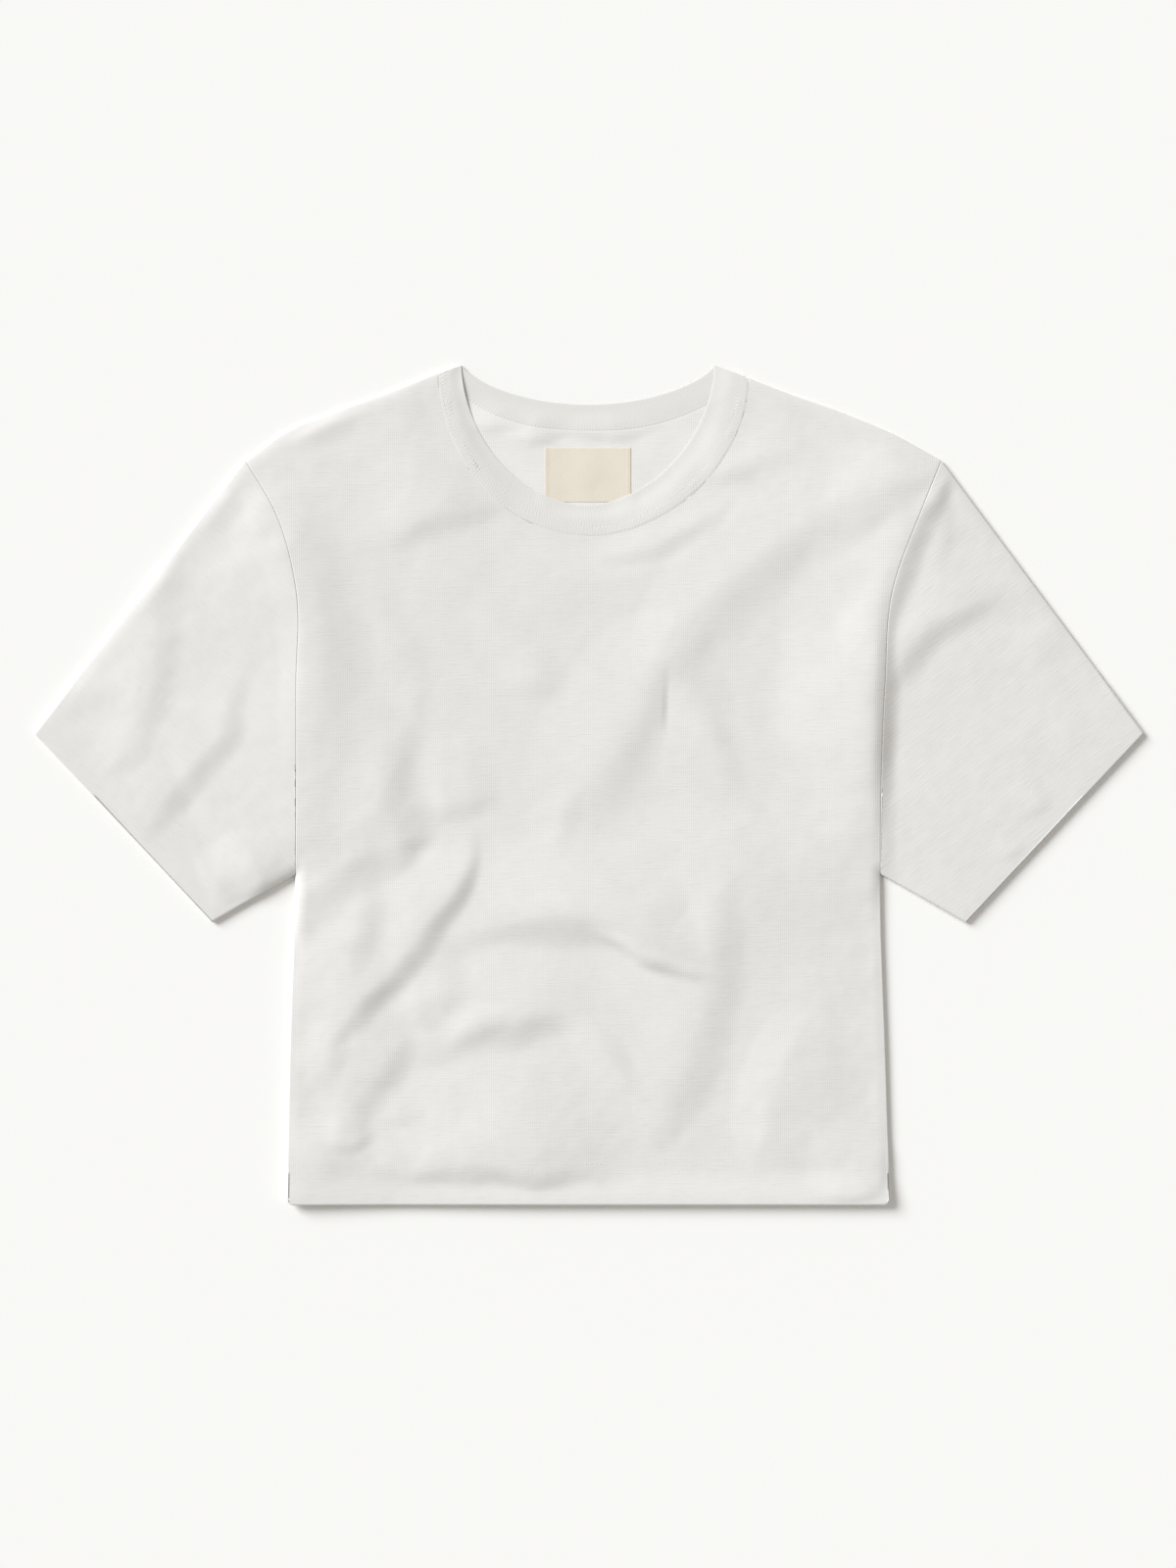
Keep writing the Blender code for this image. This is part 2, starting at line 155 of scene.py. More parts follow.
def neckline(line, shares):
    """A neckline from its right end to its left one."""
    (x0, y0), (x1, y1) = line.right_end, line.left_end
    share = -np.cos(np.linspace(0.0, np.pi, NECK_POINTS))
    full = np.where(share < 0.0, line.full_right, line.full_left)
    drop = line.depth * np.maximum(1.0 - np.abs(share) ** full, 0.0) ** line.bend
    across = 0.5 + 0.5 * share
    return sampled(np.stack([mix(x0, x1, across), mix(y0, y1, across) - drop], axis=1), shares)


def outline():
    """The lines of the whole outline but for the neck."""
    hem = SIDES[0].height
    lines = [np.array([(-SIDES[0].right, hem), (SIDES[0].left, hem)])]
    for hand, sign in (("right", -1.0), ("left", 1.0)):
        heights = np.linspace(hem, SIDES[2].height, SIDE_STEPS)
        body = np.stack([sign * side(hand, heights), heights], axis=1)
        cuff = np.array([CUFF_CORNER, CUFF_TIP]) * (sign, 1.0)
        over = shoulder(hand, np.linspace(1.0, 0.0, SHOULDER_STEPS))
        lines.append(np.concatenate([body, cuff, over]))
    return lines


def distance_to(lines, x, y):
    """Distance in plan from each point to the nearest of the lines."""
    nearest = np.full(np.shape(x), np.inf)
    for line in lines:
        for (ax, ay), (bx, by) in zip(line[:-1], line[1:]):
            dx, dy = bx - ax, by - ay
            t = np.clip(((x - ax) * dx + (y - ay) * dy) / (dx * dx + dy * dy), 0.0, 1.0)
            nearest = np.minimum(nearest, np.hypot(x - ax - t * dx, y - ay - t * dy))
    return nearest


def uneven(x, y, wave, seed):
    """A smooth unevenness of about -1 to 1, whose bumps are about half a wave across.

    It is made of waves that lie every way and are 0.7 to 1.6 times as long.
    """
    chance = np.random.default_rng(seed)
    total = np.zeros(np.shape(x))
    for turn, size, phase in chance.random((WAVES, 3)):
        turn, size, phase = 2.0 * np.pi * turn, wave * (0.7 + 0.9 * size), 2.0 * np.pi * phase
        total += np.sin(2.0 * np.pi * (x * np.cos(turn) + y * np.sin(turn)) / size + phase)
    return total / np.sqrt(2.0 * WAVES)


# One fold: the line of its crest, its greatest height, the widths of its flanks to the left and
# right along the crest, each one number or one for each end, and the shares of its length over
# which it swells and dies away.
Fold = namedtuple("Fold", "name crest height left right swell fade")
BACK_FOLDS = (
    Fold("under_band_right", ((-84, 247), (-62, 245), (-40, 243)), 1.1, 30, 9, 0.5, 0.5),
    Fold("under_band_middle", ((-66, 236), (-38, 237), (-10, 241)), 1.5, 34, 10, 0.5, 0.5),
    Fold("under_band_left", ((-34, 241), (0, 241), (26, 241), (60, 248)), 1.1, 34, 9, 0.4, 0.5),
    Fold("right_shoulder_blade", ((-96, 20), (-114, 110), (-150, 200)), 1.7, 26, 34, 0.6, 0.4),
    Fold("left_shoulder_blade", ((60, 70), (114, 122), (168, 190)), 1.7, 30, 24, 0.5, 0.5),
    Fold("small_of_back", ((-130, -60), (-10, -34), (120, -80)), 1.8, 26, 20, 0.6, 0.4),
    Fold("right_side_fold", ((-110, -170), (-140, -96), (-190, -40)), 1.6, 22, 30, 0.6, 0.4),
    Fold("left_side_fold", ((100, -200), (140, -120), (186, -70)), 1.6, 26, 20, 0.5, 0.5),
    Fold("tail_fold", ((40, -262), (-10, -190), (-80, -150)), 1.5, 22, 26, 0.6, 0.4),
    Fold("right_tail_fold", ((-156, -262), (-152, -210), (-170, -170)), 1.2, 16, 20, 0.5, 0.5),
)
CREST_STEPS = 60  # straight steps that a crest is measured by
NARROWEST = 0.55  # width of a fold at its ends, as a share of its full width
TURN = 0.18  # share of a left flank over which it bends at its top and again at its foot


def ramp(share):
    """Falls from 1 to 0 in a straight slope that bends softly at both ends."""
    steepness = 2.0 * TURN * (1.0 - TURN)
    head, foot = 1.0 - share ** 2 / steepness, (1.0 - share) ** 2 / steepness
    straight = 1.0 - (share - TURN / 2.0) / (1.0 - TURN)
    return np.where(share < TURN, head, np.where(share > 1.0 - TURN, foot, straight))


def raised(fold, x, y):
    """The height that one fold adds at each point. It narrows towards its ends.

    Its left flank is a straight slope and its right one a rounder, steeper drop.
    """
    at = np.linspace(0.0, 1.0, len(fold.crest))
    where = np.linspace(0.0, 1.0, CREST_STEPS + 1)
    crest = np.stack([through(at, column, where) for column in zip(*fold.crest)], axis=1)
    widest = np.max([*np.ravel(fold.left), *np.ravel(fold.right)])
    low, high = crest.min(axis=0) - widest, crest.max(axis=0) + widest
    near = (x > low[0]) & (x < high[0]) & (y > low[1]) & (y < high[1])
    x, y = x[near], y[near]
    nearest, on_left, along = np.full(x.shape, np.inf), np.zeros(x.shape, bool), np.zeros(x.shape)
    for i, ((ax, ay), (bx, by)) in enumerate(zip(crest[:-1], crest[1:])):
        dx, dy = bx - ax, by - ay
        s = np.clip(((x - ax) * dx + (y - ay) * dy) / (dx * dx + dy * dy), 0.0, 1.0)
        off_x, off_y = x - ax - s * dx, y - ay - s * dy
        away = np.hypot(off_x, off_y)
        closer = away < nearest
        nearest = np.where(closer, away, nearest)
        on_left = np.where(closer, dx * off_y - dy * off_x > 0.0, on_left)
        along = np.where(closer, (i + s) / CREST_STEPS, along)
    swell = soft(along / fold.swell) * soft((1.0 - along) / fold.fade)
    left, right = (mix(*np.broadcast_to(width, 2), along) for width in (fold.left, fold.right))
    reach = np.where(on_left, left, right) * mix(NARROWEST, 1.0, swell)
    share = np.minimum(nearest / reach, 1.0)
    across = np.where(on_left, ramp(share), 0.5 + 0.5 * np.cos(np.pi * share))
    height = np.zeros(near.shape)
    height[near] = fold.height * swell * across
    return height


WANDER, WANDER_WAVE = 1.6, 46.0  # how far lines laid out on the cloth stray, and over what


def wandering(x, y, seed):
    """The plan nudged this way and that, so that nothing laid out on it runs too true."""
    aside, along = (WANDER * uneven(x, y, WANDER_WAVE, seed + k) for k in (0, 1))
    return x + aside, y + along


CURL, CURL_WIDTH = 2.8, 84.0  # how far the right side curls up off the floor, and its breadth
CURL_STARTS, CURL_STOPS = 90.0, 4.0  # how soon it rises below the underarm and ends beside the edge
BACK_AIR = 0.15  # how far the back stands off the floor where it has no fold
BACK_HIGHEST = 2.3  # how high its folds may rise
BACK_CRUMPLE, BACK_CRUMPLE_WAVE = 0.2, 26.0


def curl(x, y):
    """How far the right side of the body stands off the floor, falling away inwards."""
    beside = x + side("right", y)
    below = soft((SIDES[2].height - y) / CURL_STARTS) * soft(1.0 + beside / CURL_STOPS)
    return CURL * below * ramp(np.clip(beside / CURL_WIDTH, 0.0, 1.0))


def back_height(x, y, inside):
    """How far the back stands off the floor. inside is 0 at the outline and 1 away from it."""
    across, up = wandering(x, y, 31)
    folds = sum(raised(fold, across, up) for fold in BACK_FOLDS)
    folds = folds + BACK_CRUMPLE * uneven(x, y, BACK_CRUMPLE_WAVE, 33) + BACK_AIR
    return curl(x, y) + inside * np.clip(folds, 0.0, BACK_HIGHEST)


def double_share(to_hem, hem):
    """How far the outside has risen to the double cloth of a hem, from 0 to 1."""
    return hem.turned * (1.0 - soft((to_hem - hem.depth - HEM_STEP) / HEM_RISE))


def seam_share(x, y):
    """How much the allowance turned in at a side seam adds, as a share of the cloth."""
    beside = np.where(x < 0.0, side("right", y) + x, side("left", y) - x)
    below = soft((SIDES[2].height - y) / SEAM_EASE)
    return SEAM_PRESSED * below * (1.0 - soft((np.abs(beside) - SEAM_ALLOWANCE) / SEAM_EASE))


def rounded_corners(x, y, low):
    """The plan of a panel with the corners of its hem rounded off, by squares turned to rounds."""
    for hand, sign in (("right", -1.0), ("left", 1.0)):
        centre_x = sign * (side(hand, low) - HEM_CORNER)
        off_x, off_y = sign * (x - centre_x), low + HEM_CORNER - y
        corner = (off_x > 0.0) & (off_y > 0.0)
        reach = np.where(corner, np.hypot(off_x, off_y), 1.0)
        keep = np.where(corner, np.maximum(off_x, off_y) / reach, 1.0)
        x = np.where(corner, centre_x + sign * off_x * keep, x)
        y = np.where(corner, low + HEM_CORNER - off_y * keep, y)
    return x, y


def panel_plan(seam, pitch):
    """Plan of a body panel: x and y of its grid, and the wall's thickness at each point."""
    hem, top_level = SIDES[0].height, SIDES[-1].height
    at_side = mix(hem, top_level, tightened(int((top_level - hem) / pitch)))
    shoulders, neck = (tightened(int(run / pitch)) for run in (SHOULDER_RUN, NECK_RUN))
    edge = np.concatenate([shoulder("right", shoulders)[::-1], neckline(seam, neck)[1:-1],
                           shoulder("left", shoulders)])
    spacing = np.ones(len(edge) - 1)
    spacing[:2 * HALVED] = spacing[-2 * HALVED:] = 0.5
    level_share = np.concatenate([[0.0], np.cumsum(spacing) / spacing.sum()])
    top_share = (edge[:, 0] - edge[0, 0]) / (edge[-1, 0] - edge[0, 0])
    risen = np.maximum(at_side - SPLIT, 0.0)[:, None] / (top_level - SPLIT)
    y = mix(np.minimum(at_side, SPLIT)[:, None], edge[:, 1], risen)
    right, left = -side("right", at_side)[:, None], side("left", at_side)[:, None]
    x = mix(right, left, mix(level_share, top_share, risen ** 2))
    x, y = rounded_corners(x, y, hem)
    turned_up = 1.0 - soft((at_side - hem - BODY_HEM.depth) / HEM_STEP)[:, None]
    return x, y, JERSEY * (1.0 + np.maximum(turned_up, seam_share(x, y)))


def unit(vectors):
    return vectors / np.linalg.norm(vectors, axis=-1, keepdims=True)


def cloth_wall(name, middle, wall, cut, ring=False):
    """One closed wall of cloth about a grid of middle points, its rims rounded.

    cut gives each point's place in the flat cut, for the UV map. With ring, the last column
    meets the first, and cut has one more column than middle, for the way round.
    """
    rows, columns = middle.shape[:2]
    half = np.broadcast_to(wall, (rows, columns))[..., None] / 2.0
    ids = np.arange(rows * columns).reshape(rows, columns)
    if ring:
        round_about = np.concatenate([middle[:, -1:], middle, middle[:, :1]], axis=1)
        across = round_about[:, 2:] - round_about[:, :-2]
        ids = np.concatenate([ids, ids[:, :1]], axis=1)
        loops = [[(0, c) for c in range(columns + 1)],
                 [(rows - 1, c) for c in range(columns, -1, -1)]]
    else:
        across = np.gradient(middle, axis=1)
        loop = [(0, c) for c in range(columns - 1)] + [(r, columns - 1) for r in range(rows - 1)]
        loop += [(rows - 1, c) for c in range(columns - 1, 0, -1)]
        loop += [(r, 0) for r in range(rows - 1, -1, -1)]
        loops = [loop]
    normal = unit(np.cross(across, np.gradient(middle, axis=0)))

    middle = middle.reshape(-1, 3).copy()
    normal, half = normal.reshape(-1, 3), half.reshape(-1, 1)
    turn = np.linspace(0.5 * np.pi, -0.5 * np.pi, RIM_STEPS + 1)[1:-1]
    extra, rims = [], []
    first = 2 * rows * columns  # the upper and the lower face come before the rims
    for loop in loops:
        r, c = np.array(loop).T
        around = ids[r, c][:-1]
        before, after = np.roll(around, 1), np.roll(around, -1)
        out = unit(np.cross(middle[after] - middle[before], normal[around]))
        middle[around] -= out * half[around]
        arc = middle[around][:, None] + half[around][:, None] * (
            np.cos(turn)[:, None] * out[:, None] + np.sin(turn)[:, None] * normal[around][:, None])
        extra.append(arc.reshape(-1, 3))
        made = first + np.arange(arc.shape[0] * arc.shape[1]).reshape(arc.shape[:2])
        first += made.size
        strip = np.concatenate([around[:, None], made, around[:, None] + rows * columns], axis=1)
        strip = np.concatenate([strip, strip[:1]])
        place = np.repeat(cut[r, c][:, None], strip.shape[1], axis=1)
        rims.append((strip, place))

    points = np.concatenate([middle + normal * half, middle - normal * half, *extra])
    quads, places = [], []
    upper, lower = (ids, cut), ((ids + rows * columns)[:, ::-1], cut[:, ::-1])
    for grid, place in (upper, lower, *((s.T[::-1], p.transpose(1, 0, 2)[::-1]) for s, p in rims)):
        corners = ((slice(-1), slice(-1)), (slice(-1), slice(1, None)),
                   (slice(1, None), slice(1, None)), (slice(1, None), slice(-1)))
        quads.append(np.stack([grid[k] for k in corners], axis=-1).reshape(-1, 4))
        places.append(np.stack([place[k] for k in corners], axis=-2).reshape(-1, 2))

    mesh = bpy.data.meshes.new(name)
    mesh.from_pydata((points * METRES).tolist(), [], np.concatenate(quads).tolist())
    layer = mesh.uv_layers.new(name="cut")
    layer.data.foreach_set("uv", (np.concatenate(places) * METRES).ravel())
    mesh.shade_smooth()
    piece = bpy.data.objects.new(name, mesh)
    bpy.context.scene.collection.objects.link(piece)
    return piece


def linear(code):
    """An sRGB hex colour as linear red, green, blue and alpha."""
    parts = (int(code[i:i + 2], 16) / 255.0 for i in (1, 3, 5))
    return (*(c / 12.92 if c <= 0.04045 else ((c + 0.055) / 1.055) ** 2.4 for c in parts), 1.0)


def add(tree, kind, inputs=(), **settings):
    """Adds a node. inputs gives sockets their values, or the sockets that feed them.

    A node in inputs feeds with its first socket.
    """
    made = tree.nodes.new(kind)
    for name, value in settings.items():
        setattr(made, name, value)
    for key, value in dict(inputs).items():
        if isinstance(value, bpy.types.Node):
            value = value.outputs[0]
        if isinstance(value, bpy.types.NodeSocket):
            tree.links.new(value, made.inputs[key])
        else:
            made.inputs[key].default_value = value
    return made


def fabric(name, colour, sheen):
    """A matt cloth's material, its tree and its shader."""
    material = bpy.data.materials.new(name)
    material.use_nodes = True
    tree = material.node_tree
    shader = tree.nodes["Principled BSDF"]
    shader.inputs["Base Color"].default_value = linear(colour)
    shader.inputs["Roughness"].default_value = 0.92
    shader.inputs["Specular IOR Level"].default_value = 0.25
    shader.inputs["Sheen Weight"].default_value = sheen
    shader.inputs["Sheen Roughness"].default_value = 0.55
    return material, tree, shader


def ripples(tree, along, pitch, shift=0.0):
    """Sine waves along a coordinate, pitch millimetres apart, pushed on by a share of a wave."""
    count = add(tree, "ShaderNodeMath", {0: along, 1: 1.0 / (pitch * METRES), 2: shift},
                operation="MULTIPLY_ADD")
    turn = add(tree, "ShaderNodeMath", {0: count, 1: 2.0 * np.pi}, operation="MULTIPLY")
    return add(tree, "ShaderNodeMath", {0: turn}, operation="SINE")


def relief(tree, shader, height, depth, strength):
    """Gives a surface its relief, depth millimetres deep."""
    bump = add(tree, "ShaderNodeBump",
               {"Height": height, "Distance": depth * METRES, "Strength": strength})
    tree.links.new(bump.outputs[0], shader.inputs["Normal"])


WALE, COURSE = 1.4, 1.0  # width of a rib of stitches, and height of one stitch
KNIT_DEPTH = 0.22  # from its hollows to its highest loops
SWAY, SWAY_WAVES = 1.2, 60.0  # how far the ribs of stitches sway, and how often to the metre
SLUB, SLUB_SHOWS = (16.0, 1.4), (0.52, 0.74)  # size of a thick place, and the noise it shows at
THIN, THIN_SHOWS = (11.0, 1.1), (0.54, 0.76)  # the same for a thin place
MOTTLES, FUZZES = 75.0, 1400.0  # patches left by washing, and tufts of fuzz, to the metre


def slub_jersey(name, colour, shade):
    """Washed cotton jersey, knitted from slub yarn: matt, with fine upright ribs of stitches.

    The yarn's thick and thin places show as short level streaks, and washing leaves it a
    little mottled. The ribs are 1.4 mm wide, over the real 1.1 mm, so that they show.
    """
    material, tree, shader = fabric(name, colour, 0.06)
    place = add(tree, "ShaderNodeUVMap", uv_map="cut")
    wobble = add(tree, "ShaderNodeTexNoise", {"Vector": place, "Scale": SWAY_WAVES, "Detail": 2.0})
    sway = add(tree, "ShaderNodeVectorMath", {0: wobble.outputs["Color"], 1: (0.5, 0.5, 0.5)},
               operation="SUBTRACT")
    swayed = add(tree, "ShaderNodeVectorMath",
                 {0: sway, 1: (SWAY * METRES, SWAY * METRES, 0.0), 2: place},
                 operation="MULTIPLY_ADD")
    split = add(tree, "ShaderNodeSeparateXYZ", {0: swayed})
    wale = add(tree, "ShaderNodeMath", {0: split, 1: 1.0 / (WALE * METRES)}, operation="MULTIPLY")
    bent = add(tree, "ShaderNodeMath", {0: wale, 1: 0.5}, operation="PINGPONG")
    loops = ripples(tree, split.outputs[1], COURSE, bent)
    lift = add(tree, "ShaderNodeMath", {0: loops, 1: 0.12, 2: bent}, operation="MULTIPLY_ADD")

    streaks = []
    for (length, height), (low, high), seed in ((SLUB, SLUB_SHOWS, 3.0), (THIN, THIN_SHOWS, 9.0)):
        stretched = add(tree, "ShaderNodeMapping",
                        {"Vector": swayed, "Location": (seed, seed, 0.0),
                         "Scale": (1.0 / (length * METRES), 1.0 / (height * METRES), 1.0)})
        grain = add(tree, "ShaderNodeTexNoise", {"Vector": stretched, "Scale": 1.0, "Detail": 1.0})
        streaks.append(add(tree, "ShaderNodeMapRange",
                           {"Value": grain, "From Min": low, "From Max": high}))
    slub, thin = streaks
    wash = add(tree, "ShaderNodeTexNoise", {"Vector": place, "Scale": MOTTLES, "Detail": 4.0,
                                            "Roughness": 0.62})
    fuzz = add(tree, "ShaderNodeTexNoise", {"Vector": place, "Scale": FUZZES, "Detail": 2.0})
    for pattern, height in ((slub, 0.6), (thin, -0.4), (wash, 0.8), (fuzz, 0.25)):
        lift = add(tree, "ShaderNodeMath", {0: pattern, 1: height, 2: lift},
                   operation="MULTIPLY_ADD")
    relief(tree, shader, lift, KNIT_DEPTH, 0.32)

    worn = add(tree, "ShaderNodeMapRange",
               {"Value": wash, "From Min": 0.35, "From Max": 0.7, "To Max": 0.3})
    dull = add(tree, "ShaderNodeMath", {0: thin, 1: 0.4, 2: worn}, operation="MULTIPLY_ADD")
    tint = add(tree, "ShaderNodeMix", {0: dull, "A": linear(colour), "B": linear(shade)},
               data_type="RGBA")
    tree.links.new(tint.outputs["Result"], shader.inputs["Base Color"])
    return material


jersey = slub_jersey("washed_slub_cotton_jersey", "#E6E4E1", "#DDDAD5")
# A paler copy of the same jersey, used for the back panel, whose inside shows through the neck.
paler_jersey = slub_jersey("paler_slub_cotton_jersey", "#ECEAE7", "#E4E1DD")  # paler, in the neck


TWISTS, TWIST_DEPTH = 2600.0, 0.1  # twists of the thread to the metre, and how deep they are


def sewing_thread():
    """Spun polyester thread, a shade whiter than the cloth: matt, its twist too fine to see."""
    material, tree, shader = fabric("white_spun_thread", "#E9E8E5", 0.1)
    place = add(tree, "ShaderNodeTexCoord").outputs["Object"]
    twist = add(tree, "ShaderNodeTexNoise", {"Vector": place, "Scale": TWISTS, "Detail": 1.0})
    relief(tree, shader, twist, TWIST_DEPTH, 0.5)
    return material


thread = sewing_thread()
THREAD_SUNK = 0.08  # how far the middle of a stitch lies under the face of the cloth
HEM_ROWS = (22.0, 28.0)  # the two rows of stitches over the edge of a hem
HEM_ROW_POINTS, CUFF_ROW_POINTS = 160, 80
ROW_INSET = 1.0  # how far short of the sides the rows of the hem stop
CUFF_ROW_ENDS = (0.01, 0.99)  # where those of a cuff start and stop, as shares of its width


def stitch_maker():
    """Lays stitches along the edges of a mesh, each a short swelling of thread.

    With a slant they lie across the line by turns, to and fro. They sink here and there.
    """
    tree = bpy.data.node_groups.new("stitches", "GeometryNodeTree")
    tree.interface.new_socket("Line", in_out="INPUT", socket_type="NodeSocketGeometry")
    for name in ("Pitch", "Length", "Thickness", "Slant", "Sink", "Seed"):
        tree.interface.new_socket(name, in_out="INPUT", socket_type="NodeSocketFloat")
    tree.interface.new_socket("Thread", in_out="INPUT", socket_type="NodeSocketMaterial")
    tree.interface.new_socket("Stitches", in_out="OUTPUT", socket_type="NodeSocketGeometry")
    given = add(tree, "NodeGroupInput").outputs
    line = add(tree, "GeometryNodeMeshToCurve", {"Mesh": given["Line"]})
    spaced = add(tree, "GeometryNodeResampleCurve", {"Curve": line, "Length": given["Pitch"]},
                 mode="LENGTH")

    drift = add(tree, "ShaderNodeTexNoise", {"W": given["Seed"], "Scale": 55.0, "Detail": 2.0},
                noise_dimensions="4D")
    drawn = add(tree, "ShaderNodeMapRange",
                {"Value": drift, "From Min": 0.4, "From Max": 0.6, "To Max": -1.0})
    down = add(tree, "ShaderNodeMath", {0: drawn, 1: given["Sink"]}, operation="MULTIPLY")
    offset = add(tree, "ShaderNodeCombineXYZ", {"Z": down})
    sunk = add(tree, "GeometryNodeSetPosition", {"Geometry": spaced, "Offset": offset})

    tangent = add(tree, "GeometryNodeInputTangent")
    level = add(tree, "FunctionNodeAlignRotationToVector", {"Vector": tangent},
                axis="X", pivot_axis="Z")
    along = add(tree, "FunctionNodeAlignRotationToVector", {"Rotation": level, "Vector": tangent},
                axis="X", pivot_axis="AUTO")
    number = add(tree, "GeometryNodeInputIndex")
    odd = add(tree, "ShaderNodeMath", {0: number, 1: 2.0}, operation="MODULO")
    way = add(tree, "ShaderNodeMath", {0: odd, 1: 2.0, 2: -1.0}, operation="MULTIPLY_ADD")
    slant = add(tree, "ShaderNodeMath", {0: way, 1: given["Slant"]}, operation="MULTIPLY")
    askew = add(tree, "ShaderNodeCombineXYZ", {"Z": slant})
    askew = add(tree, "FunctionNodeEulerToRotation", {0: askew})
    turned = add(tree, "FunctionNodeRotateRotation", {"Rotation": along, "Rotate By": askew},
                 rotation_space="LOCAL")

    shape = add(tree, "GeometryNodeMeshUVSphere", {"Segments": 6, "Rings": 4, "Radius": 0.5})
    size = add(tree, "ShaderNodeCombineXYZ", {"X": given["Length"], "Y": given["Thickness"],
                                              "Z": given["Thickness"]})
    laid = add(tree, "GeometryNodeInstanceOnPoints",
               {"Points": sunk, "Instance": shape, "Rotation": turned, "Scale": size})
    real = add(tree, "GeometryNodeRealizeInstances", {"Geometry": laid})
    smooth = add(tree, "GeometryNodeSetShadeSmooth", {"Geometry": real})
    done = add(tree, "GeometryNodeSetMaterial", {"Geometry": smooth, "Material": given["Thread"]})
    add(tree, "NodeGroupOutput", {"Stitches": done})
    return tree


STITCHES = stitch_maker()


def stitched(name, rows, seed, pitch=3.1, length=2.7, thickness=0.42, slant=0.0, sink=0.16):
    """Stitches along rows of points that lie on the cloth, as one plain mesh."""
    points = np.concatenate(rows)
    ends = set(np.cumsum([len(row) for row in rows]).tolist())
    steps = [(i, i + 1) for i in range(len(points) - 1) if i + 1 not in ends]
    guide = bpy.data.meshes.new(name + "_line")
    guide.from_pydata((points * METRES).tolist(), steps, [])
    piece = bpy.data.objects.new(name, guide)
    bpy.context.scene.collection.objects.link(piece)
    maker = piece.modifiers.new("stitches", "NODES")
    maker.node_group = STITCHES
    values = {"Pitch": pitch * METRES, "Length": length * METRES, "Slant": slant,
              "Thickness": thickness * METRES, "Sink": sink * METRES, "Seed": float(seed),
              "Thread": thread}
    for socket in STITCHES.interface.items_tree:
        if socket.name in values:
            maker[socket.identifier] = values[socket.name]
    graph = bpy.context.evaluated_depsgraph_get()
    made = bpy.data.meshes.new_from_object(piece.evaluated_get(graph))
    piece.modifiers.remove(maker)
    piece.data = made
    bpy.data.meshes.remove(guide)
    return piece


def hem_rows(face):
    """The two rows across a body panel. face gives the height of the cloth's face there."""
    rows = []
    for up in HEM_ROWS:
        low = SIDES[0].height + up
        x = np.linspace(ROW_INSET - side("right", low), side("left", low) - ROW_INSET,
                        HEM_ROW_POINTS)
        y = np.full(x.shape, low)
        rows.append(np.stack([x, y, face(x, y)], axis=1))
    return rows


def declare(piece, node, material, on_it=()):
    """Gives a sewn piece its cloth and its place in the frame, with the stitches on it."""
    piece.data.materials.append(material)
    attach(piece, "root")
    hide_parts(node)
    for stitches in on_it:
        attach(stitches, "root")


OUTLINE = outline()
EDGE_ROLL = 9.0  # radius of the roll in which a layer turns down to an edge


def inside_share(x, y):
    """0 at the outline, rising like a quarter round to 1 at the roll's radius inside it."""
    out = 1.0 - np.minimum(distance_to(OUTLINE, x, y) / EDGE_ROLL, 1.0)
    return np.sqrt(1.0 - out * out)


back_x, back_y, back_wall = panel_plan(BACK_SEAM, FINE)
back_z = back_height(back_x, back_y, inside_share(back_x, back_y)) + back_wall / 2.0
back = cloth_wall("back", np.stack([back_x, back_y, back_z], axis=-1), back_wall,
                  np.stack([back_x, back_y], axis=-1))
back_hem = stitched("back_hem_stitches", hem_rows(
    lambda x, y: back_height(x, y, inside_share(x, y)) + THREAD_SUNK), 21)
declare(back, "back_panel", paler_jersey, [back_hem])

# ---------------------------------------------------------------- front panel
# The front is cut like the back from the same jersey, with a deeper neckline, and sewn to it
# along the shoulders and sides. It lies on the back with trapped air under it, in soft creases.

FRONT_SEAM = Neckline((-102.0, 280.0), (108.0, 276.5), 108.8, 2.15, 1.75, 0.52)
NECK = neckline(FRONT_SEAM, np.linspace(0.0, 1.0, 33))
AIR = 2.4  # how far the front stands off the back where it has no fold
NECK_AIR, NECK_EASE = 0.7, 34.0  # the same at the neck seam, and how far from it that reaches
EDGE_AIR, EDGE_EASE = 1.4, 46.0  # the same along the edges
BLEND = 0.8  # how softly the folds run out on the hem's double cloth
CRUMPLES = ((0.3, 62.0, 11), (0.12, 21.0, 12), (0.05, 10.0, 13))  # height, wave and seed
CALM = 0.35  # crumpling of the chest, as a share of that along the edges
CALM_FROM = 130.0  # how far in from the edges it is as calm as that
HEM_FLAT = 0.4  # how far the hem stands off at its right end, as a share of that elsewhere
HEM_FLAT_TO, HEM_FLAT_EASE = -160.0, 130.0  # where that ends, and over what it eases off

